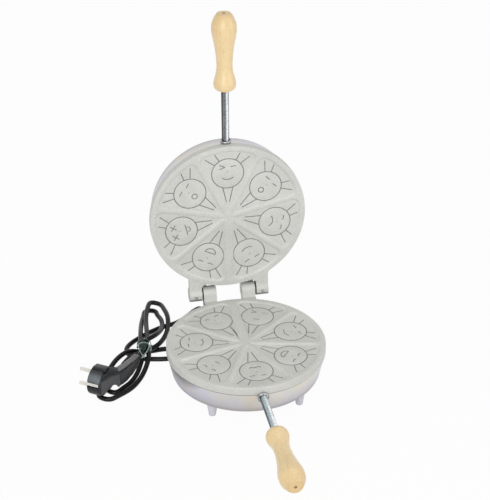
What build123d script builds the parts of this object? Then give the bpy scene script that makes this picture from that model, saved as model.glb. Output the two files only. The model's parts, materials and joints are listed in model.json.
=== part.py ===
from build123d import *
from math import atan2, cos, degrees, dist, hypot, pi, radians, sin, sqrt, tan
import os

# Electric pizzelle iron: two round cast plates on one hinge, each with a spun casing and a turned handle.
# Every piece is drawn round the centre of the base plate's top face, X right, Y back, Z up,
# and set down on the table at the end. The lid is drawn face up like the base, then turned over and opened.

# Plates, measured from each plate's face
plate_radius = 100.0
lip_depth = 10.0
lip_chamfer = 0.8
base_web = 10.0
lid_web = 8.0
closed_gap = 0.4
spigot_depth = 4.0
spigot_wall = 3.5
seat_gap = 0.3
running_gap = 0.05

# Petal moulds and engraved figures
petal_count = 7
petal_rim = 6.0
petal_depth = 1.8
petal_slope = 2.6
petal_corner = 9.0
ridge_width = 3.0
hinge_ridge_width = 8.5
line_width = 1.1
line_depth = 0.55

# Figures, drawn for a petal of this reach and scaled with it
figure_reach = 94.0
figure_radius = 62.0
head_radius = 20.5
near_ray = (31.0, 11.0)
far_ray = (53.0, 15.5)
chin_spread = 6.5
chin_tip_spread = 2.0
chin_length = 21.0
eye_height = 9.0
eye_spread = 7.0
eye_length = 7.0
nose_size = 1.2
mouth_height = -6.5
mouth_width = 15.0

# Casings
casing_inset = 1.0
casing_depth = 32.0
casing_land = 2.0
casing_taper = 5.6
casing_foot_inset = 3.4
casing_roll = 3.0
casing_wall = 1.2

# Inside each half
heater_inset = 39.0
heater_tube_radius = 3.25
heater_gap_half_angle = 14.0
heater_boss_half = 6.0
heater_boss_depth = 14.0
cold_pin_radius = 1.2
cold_pin_length = 6.0
elbow_drop = 8.0
post_radius = 8.0
casing_screw_radius = 2.5
casing_screw_length = 22.0
casing_screw_head_radius = 5.0
casing_screw_head_height = 3.0
casing_screw_head_round = 1.8
casing_screw_room = 2.0
screw_slot_width = 1.2
screw_slot_depth = 1.2
thermostat_radius = 8.0
thermostat_height = 9.0
thermostat_place = 30.0
thermostat_chamfer = 1.0
tab_width = 4.0
tab_length = 4.0
tab_thickness = 1.0
tab_lift = 2.0
insulation_radius = 50.0
insulation_height = 12.0
insulation_hole_radius = 9.0
block_heater_gap = 5.0
block_casing_gap = 6.8
block_width = 34.0
block_height = 20.0
block_chamfer = 1.0
well_radius = 2.2
well_depth = 4.0
wire_radius = 1.5
wire_bend = 2.5

# Handles
rod_radius = 4.75
rod_axis_depth = 13.5
rod_tilt = 0.95
rod_heater_gap = 12.0
rod_shown = 70.0
rod_tip_radius = 2.45
rod_tip_length = 11.0
rod_tip_recess = 1.5
boss_half_width = 11.0
boss_inset = 5.0
boss_end = 1.0
boss_depth = 21.0
collar_radius = 7.25
collar_neck_radius = 6.2
collar_recess_depth = 1.5
collar_thickness = 3.0
collar_round = 0.8
handle_length = 100.0
handle_end_radius = 8.5
handle_knob_radius = 15.7
handle_waist_radius = 9.9
handle_head_radius = 13.9
handle_neck_radius = 7.3

# Hinge, its axis behind and above the base plate's centre
hinge_reach = 12.0
hinge_rise = 6.0
barrel_radius = 9.5
knuckle_inner = 17.0
knuckle_width = 17.0
knuckle_gap = 2.0
knuckle_root = 8.0
knuckle_top = 1.0
knuckle_neck = 1.5
knuckle_foot = 7.0
lug_width = 16.0
lug_thickness = 9.0
lug_fillet = 6.0
lug_root = 30.0
lug_rim = 6.0
hinge_pin_radius = 3.0
hinge_pin_recess = 1.0
set_screw_radius = 2.1
set_screw_tilt = 5.0
set_screw_recess = 0.6
set_screw_socket = 1.5
open_angle = 91.0
stop_gap = 0.3
stop_thickness = 5.0
stop_rise = 14.0
stop_overhang = 6.0
stop_overhang_height = 4.0
stop_inset = 6.0

# Feet
foot_height = 18.0
foot_top_radius = 6.75
foot_tip_radius = 4.35
foot_inset = 17.87
foot_azimuth = 47.96
foot_screw_radius = 1.95
foot_screw_head_radius = 2.9
foot_screw_head_height = 2.4
foot_recess_depth = 3.4
foot_nut_radius = 3.6
foot_nut_height = 3.0
foot_screw_above_nut = 1.5
foot_slot_width = 0.8
foot_slot_depth = 1.0

# Mains lead, its strain relief and the bushes of the link lead
cord_radius = 3.2
gland_azimuth = 105.0
gland_depth = 26.0
gland_length = 24.4
gland_root_radius = 7.0
gland_tip_radius = 4.6
gland_neck_radius = 5.5
gland_flange_radius = 9.0
gland_flange_thickness = 2.5
gland_flange_shown = 1.5
gland_inner_gap = 2.5
gland_inner_step = 2.0
bush_azimuth = 90.0
bush_radius = 7.0
bush_neck_radius = 5.0
bush_bore_radius = 3.3
bush_flange_thickness = 2.0
bush_inner_gap = 3.0
bush_shown = 3.0
bush_play = 0.1

# Hank of the lead: loops that leave and return at the tied waist
layer_gap = 0.6
waist_side_gap = 19.5
waist_back = 77.5
walk_step = 1.5
cord_lie = cord_radius + 0.1
arc_share = 0.45
gates = {
    "east": (3.5, 0, 2.05),
    "west": (-3.5, 0, 2.05),
    "north": (0, 3.5, 0.3),
    "south": (0, -3.5, 1.05),
    "top": (1, 1, 3.05),
    "under": (-5, -7, 0),
}

# Twist tie, its inside measured from the waist and the table
tie_left = -7.0
tie_right = 17.5
tie_low = 7.1
tie_high = 28.3
tie_thickness = 1.0
tie_width = 4.0
tie_corner = 3.0

# Plug, its pins turned back from -X, placed from the waist and the table
plug_before_waist = 69.2
plug_lift = 25.5
plug_reach = 73.0
plug_turn = 35.0
plug_round = 1.2
plug_disc_radius = 18.5
plug_disc_depth = 15.0
plug_body_wide = 30.0
plug_body_tall = 35.0
plug_root_wide = 22.0
plug_root_tall = 24.0
plug_body_corner = 7.0
boot_tip_place = (-12.5, -33.0)
boot_tip_lift = 24.5
boot_lead_place = (-3.1, -21.5)
boot_lead_lift = 24.7
boot_length = 44.4
boot_root_wide = 20.0
boot_root_tall = 22.0
boot_tip_wide = 10.4
boot_corner = 3.0
pin_radius = 2.4
pin_root_radius = 3.0
pin_length = 19.0
pin_spacing = 19.0
pin_seat = 10.0
pin_end_gap = 0.2
pin_chamfer = 0.8
clip_width = 5.0
clip_thickness = 1.0
clip_length = 14.0
clip_slot = 6.0
clip_sink = 2.0
clip_end_gap = 1.0

# Sizes that follow from the ones above
face_height = lip_depth + casing_depth + foot_height
table = -face_height
petal_reach = plate_radius - petal_rim
casing_radius = plate_radius - casing_inset
casing_taper_radius = casing_radius - casing_taper
casing_foot_radius = casing_taper_radius - casing_foot_inset
heater_radius = plate_radius - heater_inset
block_inner = heater_radius + block_heater_gap
block_outer = casing_foot_radius - casing_wall - block_casing_gap
rod_socket_start = heater_radius + rod_heater_gap
handle_start = plate_radius + rod_shown
boss_front = plate_radius - boss_inset
boss_back = rod_socket_start - boss_end
hinge_back = plate_radius + hinge_reach
foot_side = (plate_radius - foot_inset) * cos(radians(foot_azimuth))
foot_back = (plate_radius - foot_inset) * sin(radians(foot_azimuth))
waist = (-plate_radius - waist_side_gap, waist_back)
plug_y = waist_back - plug_before_waist
plug_z = table + plug_lift
plug_face_x = waist[0] - plug_reach
boot_tip = (waist[0] + boot_tip_place[0], waist_back + boot_tip_place[1], table + boot_tip_lift)
boot_lead = (waist[0] + boot_lead_place[0], waist_back + boot_lead_place[1], table + boot_lead_lift)
slot_floor = plug_disc_radius - clip_thickness - clip_sink
stop_depth = lug_thickness + closed_gap - hinge_rise


def drum(radius, top, bottom, x=0, y=0):
    """upright cylinder between two heights"""
    return Pos(x, y, (top + bottom) / 2) * Cylinder(radius, top - bottom)


def ring(outer, inner, top, bottom):
    return drum(outer, top, bottom) - drum(inner, top + 1, bottom - 1)


def block(x0, x1, y0, y1, z0, z1):
    """box between two corners"""
    return Pos((x0 + x1) / 2, (y0 + y1) / 2, (z0 + z1) / 2) * Box(x1 - x0, y1 - y0, z1 - z0)


def rod_along_y(radius, near, far, x=0, z=0):
    """cylinder along Y between two places"""
    return Pos(x, (near + far) / 2, z) * Rot(90, 0, 0) * Cylinder(radius, abs(far - near))


def rod_along_x(radius, left, right, y=0, z=0):
    return Pos((left + right) / 2, y, z) * Rot(0, 90, 0) * Cylinder(radius, abs(right - left))


def out_from_axis(azimuth, height):
    """frame whose Z axis points away from the plate's axis at an azimuth"""
    return Pos(0, 0, height) * Rot(0, 0, azimuth) * Rot(0, 90, 0)


def along_rod(shape):
    """place a piece drawn along Y on the rod's axis, which tilts away from the face beyond the rim"""
    return Pos(0, -plate_radius, -rod_axis_depth) * Rot(rod_tilt, 0, 0) * Pos(0, plate_radius, 0) * shape


def rod_outward(radius, near, far, azimuth, height):
    return out_from_axis(azimuth, height) * Pos(0, 0, (near + far) / 2) * Cylinder(radius, far - near)


# Casing


def casing_radius_at(depth):
    """outer radius of the tapered wall at a depth below the plate's face"""
    start = lip_depth + casing_land
    share = (depth - start) / (lip_depth + casing_depth - casing_roll - start)
    return casing_radius - (casing_radius - casing_taper_radius) * max(share, 0)


def casing_body(shrink, top):
    """turned solid of the casing's outside, or of its inside when shrunk by the wall"""
    floor = -(lip_depth + casing_depth) + shrink
    with BuildPart() as body:
        with BuildSketch(Plane.XZ):
            with BuildLine():
                Polyline(
                    (0, top),
                    (casing_radius - shrink, top),
                    (casing_radius - shrink, -lip_depth - casing_land),
                    (casing_taper_radius - shrink, floor + casing_roll),
                    (casing_foot_radius - shrink, floor),
                    (0, floor),
                    (0, top),
                )
            make_face()
        revolve(axis=Axis.Z)
    return body.part


def casing(passages):
    shell = casing_body(0, -lip_depth) - casing_body(casing_wall, -lip_depth + 1)
    shell -= along_rod(rod_along_y(collar_neck_radius + bush_play, -boss_front, -plate_radius - 1))
    floor = -(lip_depth + casing_depth)
    shell -= drum(casing_screw_radius + running_gap, floor + 2 * casing_wall, floor - 1)
    for passage in passages:
        shell -= passage
    return shell


# Plates


def wedge(left_ridge, right_ridge, shrink):
    """outline of one petal, pointing along Y, with its ridges' half widths on either side"""
    half = pi / petal_count
    reach = petal_reach - shrink
    left = left_ridge + shrink
    right = right_ridge + shrink

    def corner(offset, side):
        along = sqrt(reach**2 - offset**2)
        across = side * (along * sin(half) - offset * cos(half))
        return (across, along * cos(half) + offset * sin(half))

    def root():
        share = (left + right) / 2 / sin(half)
        return ((left - right) / 2 / cos(half), share)

    with BuildSketch() as outline:
        with BuildLine():
            Line(root(), corner(left, -1))
            ThreePointArc(corner(left, -1), (0, reach), corner(right, 1))
            Line(corner(right, 1), root())
        make_face()
        tips = outline.vertices().sort_by(Axis.Y)[-2:]
        fillet(tips, petal_corner - shrink)
    return outline.sketch


def petals():
    """cutters of the petal moulds, with sloping sides"""
    cutters = []
    for index in range(petal_count):
        left = ridge_width / 2
        right = ridge_width / 2
        if index == petal_count // 2:
            right = ridge_width / 2
            left = hinge_ridge_width / 2
        if index == petal_count // 2 + 1:
            right = hinge_ridge_width / 2
        mouth = wedge(left, right, 0)
        floor = Pos(0, 0, -petal_depth) * wedge(left, right, petal_slope)
        turn = Rot(0, 0, petal_turn(index))
        cutters.append(turn * loft([mouth, floor], ruled=True))
    return cutters


def petal_turn(index):
    """turn that brings a petal drawn along Y to its place, the first one towards the handle"""
    return 180 + index * 360 / petal_count


def dash(start, end):
    length = hypot(end[0] - start[0], end[1] - start[1])
    turn = degrees(atan2(end[1] - start[1], end[0] - start[0]))
    return Pos((start[0] + end[0]) / 2, (start[1] + end[1]) / 2) * Rot(0, 0, turn) * Rectangle(length, line_width)


def dot(x, y):
    return Pos(x, y) * Circle(nose_size / 2)


def hoop(x, y, radius):
    return Pos(x, y) * (Circle(radius + line_width / 2) - Circle(radius - line_width / 2))


def bow(x, y, width, sag):
    """arc of a stroke's width, as wide as given, its middle lower than its ends by the sag"""
    radius = (width**2 / 4 + sag**2) / (2 * abs(sag))
    side = 1 if sag > 0 else -1
    band = Circle(radius + line_width / 2) - Circle(radius - line_width / 2)
    strip = Pos(0, -side * radius) * Rectangle(width, 2 * abs(sag))
    return Pos(x, y + side * (radius - abs(sag))) * (band & strip)


def eyes(kind):
    left, right = -eye_spread, eye_spread
    half = eye_length / 2
    if kind == "crossed":
        strokes = []
        for x in (left, right):
            strokes.append(dash((x - half, eye_height - half), (x + half, eye_height + half)))
            strokes.append(dash((x - half, eye_height + half), (x + half, eye_height - half)))
        return strokes
    closed = [dash((x - half, eye_height), (x + half, eye_height + 1)) for x in (left, right)]
    if kind == "wink":
        tip = (left + half, eye_height)
        return [closed[1], dash((left - half, eye_height + 3), tip), dash((left - half, eye_height - 3), tip)]
    if kind == "sleepy":
        return [bow(x, eye_height, eye_length, 1.5) for x in (left, right)]
    if kind == "raised":
        return [bow(x, eye_height, eye_length, -1.5) for x in (left, right)]
    return closed


def mouth(kind):
    half = mouth_width / 2
    if kind == "round":
        return [hoop(0, mouth_height - 1, 3.4)]
    if kind == "frown":
        return [bow(0, mouth_height, mouth_width, -4)]
    if kind == "grin":
        return [dash((-half, mouth_height), (half, mouth_height)), bow(0, mouth_height, mouth_width, 6)]
    if kind == "tongue":
        return [dash((-half, mouth_height), (half, mouth_height)), bow(0, mouth_height, half, 5)]
    if kind == "flat":
        return [dash((-half / 2, mouth_height), (half / 2, mouth_height))]
    if kind == "wave":
        return [bow(-half / 2, mouth_height, half, 2), bow(half / 2, mouth_height, half, 2)]
    if kind == "dots":
        return [dot(-half / 3, mouth_height), dot(half / 3, mouth_height)]
    return [bow(0, mouth_height + 1, mouth_width, 3)]


def figure(eye_kind, mouth_kind):
    """engraved face with four rays and two lines that run to the plate's centre"""
    strokes = [hoop(0, 0, head_radius), dot(0, 2)]
    for angle, length in (near_ray, far_ray):
        for side in (-1, 1):
            across, up = side * sin(radians(angle)), cos(radians(angle))
            far = head_radius + length
            strokes.append(dash((across * head_radius, up * head_radius), (across * far, up * far)))
    for side in (-1, 1):
        top = -sqrt(head_radius**2 - chin_spread**2)
        foot = top - chin_length
        strokes.append(dash((side * chin_spread, top), (side * chin_tip_spread, foot)))
    strokes += eyes(eye_kind) + mouth(mouth_kind)
    size = petal_reach / figure_reach
    return Pos(0, figure_radius * size) * scale(Sketch() + strokes, by=size)


lid_faces = [
    ("wink", "smile"), ("closed", "round"), ("crossed", "tongue"), ("sleepy", "grin"),
    ("closed", "smile"), ("raised", "frown"), ("closed", "round"),
]
base_faces = [
    ("closed", "wave"), ("sleepy", "grin"), ("closed", "smile"), ("wink", "flat"),
    ("raised", "dots"), ("closed", "smile"), ("sleepy", "flat"),
]


def engravings(faces):
    """cutters of all figures, sunk into the petals' floors"""
    cutters = []
    for index, kinds in enumerate(faces):
        placed = Pos(0, 0, -petal_depth - line_depth) * Rot(0, 0, petal_turn(index)) * figure(*kinds)
        cutters.append(extrude(placed, line_depth + 0.2))
    return cutters


def spigot_outer():
    return casing_radius_at(lip_depth + spigot_depth) - casing_wall - seat_gap


def rod_socket():
    """bore for the rod, with the collar's neck at its mouth"""
    bore = rod_along_y(rod_radius + running_gap, -rod_socket_start, -plate_radius)
    neck = rod_along_y(collar_neck_radius + bush_play, -boss_front, -plate_radius - 1)
    return [along_rod(bore), along_rod(neck)]


def heater_groove():
    return Pos(0, 0, -heater_boss_depth) * Torus(heater_radius, heater_tube_radius + running_gap)


def plate(web, faces, extras, cuts):
    """casting: lip, web, spigot, heater boss, screw post and rod boss; then moulds, figures and bores"""
    disc = drum(plate_radius, 0, -lip_depth)
    disc = chamfer(disc.edges().sort_by(Axis.Z)[-1], lip_chamfer)
    post_foot = -(lip_depth + casing_depth) + casing_wall
    inner = spigot_outer() - spigot_wall
    body = disc + ring(spigot_outer(), inner, -lip_depth, -lip_depth - spigot_depth)
    if web < lip_depth:
        hollow = drum(inner, -web, -lip_depth) - drum(heater_radius + heater_boss_half, -web, -lip_depth)
        hollow += drum(heater_radius - heater_boss_half, -web, -lip_depth)
        body -= hollow
    body += ring(
        heater_radius + heater_boss_half, heater_radius - heater_boss_half, -lip_depth, -heater_boss_depth
    )
    body += drum(post_radius, -web, post_foot)
    body += block(-boss_half_width, boss_half_width, -boss_front, -boss_back, -boss_depth, -web)
    for piece in extras:
        body += piece
    body -= heater_groove()
    body -= drum(casing_screw_radius + running_gap, post_foot + casing_screw_length, post_foot - 1)
    body -= rod_socket()
    body -= petals()
    body -= engravings(faces)
    body -= cuts
    return body


# Inside of each half


def heater(azimuth):
    """tubular element: an open ring whose ends turn down into two cold pins"""
    start = azimuth + heater_gap_half_angle
    sweep_angle = 360 - 2 * heater_gap_half_angle
    section = Plane.XZ * Pos(heater_radius, 0) * Circle(heater_tube_radius)
    tube = revolve(section, axis=Axis.Z, revolution_arc=sweep_angle)
    tube = Pos(0, 0, -heater_boss_depth) * Rot(0, 0, start) * tube
    for side in (-1, 1):
        angle = radians(azimuth + side * heater_gap_half_angle)
        x, y = heater_radius * cos(angle), heater_radius * sin(angle)
        elbow = -heater_boss_depth - elbow_drop
        tube += Pos(x, y, -heater_boss_depth) * Sphere(heater_tube_radius)
        tube += drum(heater_tube_radius, -heater_boss_depth, elbow, x, y)
        tube += drum(cold_pin_radius, elbow, elbow - cold_pin_length, x, y)
    return tube


def wires(azimuth):
    """sleeved wires from the cold pins down and out into the terminal block"""
    angle = radians(heater_gap_half_angle)
    along, across = heater_radius * cos(angle), heater_radius * sin(angle)
    top = -heater_boss_depth - elbow_drop - cold_pin_length
    low = -(lip_depth + casing_depth) + casing_wall + 2 * wire_radius + 1
    pieces = []
    for side in (-1, 1):
        path = FilletPolyline(
            (along, side * across, top), (along, side * across, low), (block_inner, side * across, low),
            radius=[wire_bend],
        )
        section = Plane(origin=(along, side * across, top), z_dir=(0, 0, -1)) * Circle(wire_radius)
        pieces.append(Rot(0, 0, azimuth) * sweep(section, path=path))
    return Compound(children=[Part(piece.wrapped) for piece in pieces])


def terminal_block(azimuth):
    floor = -(lip_depth + casing_depth) + casing_wall
    top = floor + block_height
    body = block(block_inner, block_outer, -block_width / 2, block_width / 2, floor, top)
    body = chamfer(body.edges().group_by(Axis.Z)[-1], block_chamfer)
    for share in (-1, 0, 1):
        well = drum(well_radius, top, top - well_depth, (block_inner + block_outer) / 2)
        body -= Pos(0, share * block_width / 3, 0) * well
    return Rot(0, 0, azimuth) * body


def thermostat(web):
    can = drum(thermostat_radius, -web, -web - thermostat_height, thermostat_place)
    can = chamfer(can.edges().sort_by(Axis.Z)[0], thermostat_chamfer)
    low = -web - thermostat_height + tab_lift
    far = thermostat_radius + tab_length
    tab = block(-tab_width / 2, tab_width / 2, thermostat_radius - 1, far, low, low + tab_thickness)
    return can + Pos(thermostat_place, 0, 0) * tab + Pos(thermostat_place, 0, 0) * Rot(0, 0, 180) * tab


def insulation():
    floor = -(lip_depth + casing_depth) + casing_wall
    return ring(insulation_radius, insulation_hole_radius, floor + insulation_height, floor)


def casing_screw():
    floor = -(lip_depth + casing_depth)
    head = drum(casing_screw_head_radius, floor, floor - casing_screw_head_height)
    low = floor - casing_screw_head_height
    head = fillet(head.edges().sort_by(Axis.Z)[0], casing_screw_head_round)
    half = screw_slot_width / 2
    reach = casing_screw_head_radius
    slot = block(-reach, reach, -half, half, low, low + screw_slot_depth)
    tip = floor + casing_wall + casing_screw_length - casing_screw_room
    return head - slot + drum(casing_screw_radius, tip, floor)


# Handles


def rod():
    end = handle_start + handle_length - rod_tip_recess
    shoulder = end - rod_tip_length
    body = rod_along_y(rod_radius, -rod_socket_start - seat_gap, -shoulder)
    return along_rod(body + rod_along_y(rod_tip_radius, -shoulder, -end))


def rod_collar():
    back = plate_radius + seat_gap
    front = back + collar_thickness
    body = rod_along_y(collar_radius, -back, -front)
    body = fillet(body.edges().sort_by(Axis.Y)[0], collar_round)
    body += rod_along_y(collar_neck_radius, -boss_front, -back)
    body -= rod_along_y(collar_neck_radius, -front + collar_recess_depth, -front - 1)
    body -= rod_along_y(rod_radius + running_gap, -boss_front + 1, -front - 1)
    return along_rod(body)


def handle():
    """turned beech handle, drawn along its length from the far end"""
    end = handle_start + handle_length
    outline = [
        (0, handle_end_radius), (0.018, handle_waist_radius), (0.059, handle_knob_radius - 3.3),
        (0.13, handle_knob_radius - 0.6), (0.2, handle_knob_radius), (0.271, handle_knob_radius - 0.8),
        (0.355, handle_knob_radius - 2.4), (0.449, handle_waist_radius + 1.8), (0.57, handle_waist_radius + 0.4),
        (0.682, handle_waist_radius), (0.757, handle_waist_radius + 0.8), (0.828, handle_head_radius - 1.4),
        (0.888, handle_head_radius), (0.935, handle_head_radius - 0.1), (0.972, handle_head_radius - 1.8),
        (1, handle_neck_radius),
    ]
    points = [(-end + share * handle_length, radius) for share, radius in outline]
    with BuildPart() as body:
        with BuildSketch(Plane.YZ):
            with BuildLine():
                Spline(points)
                Line(points[-1], (points[-1][0], 0))
                Line((points[-1][0], 0), (points[0][0], 0))
                Line((points[0][0], 0), points[0])
            make_face()
        revolve(axis=Axis.Y)
    shoulder = end - rod_tip_recess - rod_tip_length
    bored = body.part - rod_along_y(rod_radius + running_gap, -handle_start + 1, -shoulder - running_gap)
    bored -= rod_along_y(rod_tip_radius + running_gap, -shoulder, -end - 1)
    return along_rod(bored)


# Hinge


def knuckle(side):
    """base knuckle: an arm from the rim to a barrel, with the open stop behind it"""
    inner, outer = side * knuckle_inner, side * (knuckle_inner + knuckle_width)
    left, right = min(inner, outer), max(inner, outer)
    rim = plate_radius - knuckle_root
    slant = barrel_radius * sin(radians(45))
    with BuildPart() as arm:
        with BuildSketch(Plane.YZ.offset(left)):
            with BuildLine():
                Polyline(
                    (rim, -lip_depth), (rim, -knuckle_top), (plate_radius + knuckle_neck, -knuckle_top),
                    (hinge_back - barrel_radius, hinge_rise), (hinge_back, hinge_rise),
                    (hinge_back + slant, hinge_rise - slant), (plate_radius + knuckle_foot, -lip_depth),
                    (rim, -lip_depth),
                )
            make_face()
        extrude(amount=right - left)
    body = arm.part + rod_along_x(barrel_radius, left, right, hinge_back, hinge_rise)
    turn = radians(open_angle)
    front = hinge_back + stop_depth * sin(turn) - stop_rise * cos(turn) + stop_gap
    back = front + stop_thickness
    top = hinge_rise + stop_rise
    near, far = sorted((side * (abs(outer) - stop_inset), outer))
    body += block(near, far, front, back, hinge_rise, top)
    near, far = sorted((side * (abs(outer) - stop_inset), side * (abs(outer) + stop_overhang)))
    body += block(near, far, front, back, top - stop_overhang_height, top)
    return body


def lug_outline():
    """lid plate's outline with two lugs that run straight out to the hinge, blended into the rim"""
    inner = knuckle_inner + knuckle_width + knuckle_gap
    outer = inner + lug_width
    root = plate_radius - lug_root
    with BuildSketch() as outline:
        Circle(plate_radius)
        for side in (-1, 1):
            with Locations((side * (inner + outer) / 2, (hinge_back + root) / 2)):
                Rectangle(lug_width, hinge_back - root)
        concave = [v for v in outline.vertices() if abs(hypot(v.X, v.Y) - plate_radius) < 0.01 and v.Y > 0]
        fillet([v for v in concave if abs(v.X) > 1], lug_fillet)
    return outline.sketch


def lugs():
    inner = knuckle_inner + knuckle_width + knuckle_gap
    outer = inner + lug_width
    depth = hinge_rise - closed_gap
    tabs = extrude(lug_outline(), -lug_thickness) - drum(plate_radius - lug_rim, 1, -lug_thickness - 1)
    pieces = [tabs]
    for side in (-1, 1):
        left, right = sorted((side * inner, side * outer))
        pieces.append(rod_along_x(barrel_radius, left, right, hinge_back, -depth))
    return pieces


def hinge_bore(inner, outer, height):
    return [rod_along_x(hinge_pin_radius + running_gap, *sorted((side * inner, side * outer)), hinge_back, height)
            for side in (-1, 1)]


def set_screw_bores(radius, start, end):
    """cylinders square to the hinge axis, in the middle of each lug"""
    middle = knuckle_inner + knuckle_width + knuckle_gap + lug_width / 2
    depth = hinge_rise - closed_gap
    turn = Pos(0, hinge_back, -depth) * Rot(-set_screw_tilt, 0, 0)
    return [turn * Pos(side * middle, 0, (start + end) / 2) * Cylinder(radius, end - start) for side in (-1, 1)]


def hinge_pin(side):
    inner = knuckle_inner + hinge_pin_recess
    outer = knuckle_inner + knuckle_width + knuckle_gap + lug_width - hinge_pin_recess
    return rod_along_x(hinge_pin_radius, *sorted((side * inner, side * outer)), hinge_back, -hinge_rise + closed_gap)


def set_screws():
    start = hinge_pin_radius + running_gap
    end = barrel_radius - set_screw_recess
    screws = set_screw_bores(set_screw_radius, start, end)
    sockets = set_screw_bores(set_screw_radius / 2, end - set_screw_socket, end + 1)
    solids = [screw - socket for screw, socket in zip(screws, sockets)]
    return Compound(children=[Part(solid.wrapped) for solid in solids])


def base_plate():
    cuts = hinge_bore(knuckle_inner - 1, knuckle_inner + knuckle_width + 1, hinge_rise)
    return plate(base_web, base_faces, [knuckle(-1), knuckle(1)], cuts)


def lid_plate():
    inner = knuckle_inner + knuckle_width + knuckle_gap
    cuts = hinge_bore(inner - 1, inner + lug_width + 1, closed_gap - hinge_rise)
    cuts += set_screw_bores(set_screw_radius + running_gap, 0, barrel_radius + 1)
    return plate(lid_web, lid_faces, lugs(), cuts)


# Feet


def foot_places():
    return {
        "front_left": (-foot_side, -foot_back), "front_right": (foot_side, -foot_back),
        "rear_left": (-foot_side, foot_back), "rear_right": (foot_side, foot_back),
    }


def foot():
    """tapered foot with a recess below for its screw"""
    top = -(lip_depth + casing_depth)
    cone = Pos(0, 0, top - foot_height / 2) * Cone(foot_tip_radius, foot_top_radius, foot_height)
    low = top - foot_height
    cone -= drum(foot_screw_head_radius + bush_play, low + foot_recess_depth, low - 1)
    return cone - drum(foot_screw_radius + running_gap, top + 1, low)


def foot_screw():
    low = -(lip_depth + casing_depth) - foot_height + foot_recess_depth
    tip = -(lip_depth + casing_depth) + casing_wall + foot_nut_height + foot_screw_above_nut
    head_low = low - foot_screw_head_height
    head = drum(foot_screw_head_radius, low, head_low)
    reach, half = 2 * foot_screw_head_radius, foot_slot_width / 2
    slot = block(-reach, reach, -half, half, head_low, head_low + foot_slot_depth)
    return head - slot + drum(foot_screw_radius, tip, low)


def foot_nut():
    floor = -(lip_depth + casing_depth) + casing_wall
    nut = extrude(Pos(0, 0, floor) * RegularPolygon(foot_nut_radius, 6), foot_nut_height)
    return nut - drum(foot_screw_radius + running_gap, floor + foot_nut_height + 1, floor - 1)


def at_feet(piece):
    return Compound(children=[Part((Pos(x, y, 0) * piece).wrapped) for x, y in foot_places().values()])


# Strain relief and bushes


def cord_gland():
    """tapered strain relief through the casing, with a flange on either side of the wall"""
    wall = casing_radius_at(gland_depth)
    frame = out_from_axis(gland_azimuth, -gland_depth)
    tip = wall + gland_length
    inside = wall - casing_wall - gland_inner_gap
    slant = wall + casing_taper / casing_depth * gland_flange_radius
    outer = frame * Pos(0, 0, (slant + tip) / 2) * Cone(gland_root_radius, gland_tip_radius, tip - slant)
    flange = rod_outward(
        gland_flange_radius, inside, slant + gland_flange_shown, gland_azimuth, -gland_depth
    )
    outer += flange - casing_body(-running_gap, 0)
    outer += rod_outward(gland_neck_radius, inside - 1, slant, gland_azimuth, -gland_depth)
    return outer + rod_outward(
        gland_neck_radius + gland_inner_step, gland_inside(), inside, gland_azimuth, -gland_depth
    )


def gland_inside():
    return casing_radius_at(gland_depth) - casing_wall - gland_inner_gap - gland_flange_thickness


def inner_lead():
    return rod_outward(cord_radius, block_outer, gland_inside(), gland_azimuth, -gland_depth)


def passage(azimuth, radius):
    return rod_outward(radius, block_inner, plate_radius, azimuth, -gland_depth)


def link_bush():
    """bush that guides the link lead between the halves"""
    wall = casing_radius_at(gland_depth)
    face = wall + bush_shown
    inside = wall - casing_wall - bush_inner_gap
    end = inside - bush_flange_thickness
    body = rod_outward(bush_radius, inside, face, bush_azimuth, -gland_depth)
    body -= casing_body(-running_gap, 0)
    body += rod_outward(bush_neck_radius, inside - 1, face - 1, bush_azimuth, -gland_depth)
    body += rod_outward(bush_radius, end, inside, bush_azimuth, -gland_depth)
    return body - rod_outward(bush_bore_radius, end - 1, face + 1, bush_azimuth, -gland_depth)


# Mains lead


def lay(level):
    """height of the cord's middle in a layer above the table"""
    return table + cord_lie + level * (2 * cord_radius + layer_gap)


def gate(name):
    dx, dy, level = gates[name]
    return (waist[0] + dx, waist[1] + dy, lay(level))


def hank_loop(heading, reach, bows, roots, levels, tip, steps=5, first=0.12):
    """one loop: out from a gate of the waist, round its tip and back to another gate"""
    shares = [first + (1 - 2 * first) * step / (steps - 1) for step in range(steps)]
    along = (cos(radians(heading)), sin(radians(heading)))
    points = [gate(roots[0])]
    flat = []
    for side, order in ((0, shares + [1]), (1, [1] + shares[::-1])):
        near, far = bows[side]
        root = gates[roots[side]]
        for share in order:
            swell = sin(pi * share) ** 0.5 if share < 1 else tip
            across = (near + (far - near) * share) * swell
            x = waist[0] + root[0] * (1 - share) + along[0] * reach * share - along[1] * across
            y = waist[1] + root[1] * (1 - share) + along[1] * reach * share + along[0] * across
            flat.append((x, y))
    return points + [(x, y, lay(level)) for (x, y), level in zip(flat, levels)]


loops = [
    dict(heading=-6, reach=55, bows=((-2, -13), (6, 15)), roots=("under", "north"),
         levels=(0, 0, 0, 0, 0, 0, 0, 0), tip=0.4, steps=3, first=0.2),
    dict(heading=232, reach=104, bows=((-25, -17), (21, 25)), roots=("north", "east"),
         levels=(1.3, 1.05, 0.3, 0, 0, 0, 0, 0, 0, 0.4, 1.2, 2), tip=0.4),
    dict(heading=74.5, reach=118, bows=((-3, 13), (-27, -25)), roots=("east", "south"),
         levels=(2, 1.7, 1.2, 1.05, 1.05, 0.9, 0.5, 0.85, 1.35, 1, 0.9, 1.1), tip=0.37),
    dict(heading=232.5, reach=88, bows=((-13, -9), (15, 18)), roots=("south", "west"),
         levels=(1.1, 1, 0.3, 0, 0, 0, 0, 0, 0, 0.4, 1.2, 2), tip=0.52, first=0.155),
    dict(heading=78.5, reach=106, bows=((1, 7), (-23, -22)), roots=("west", "top"),
         levels=(2, 1.7, 1.1, 0.5, 0, 0, 0, 0.2, 1.05, 1.3, 2.2, 3), tip=0.51, first=0.135),
]

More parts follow.
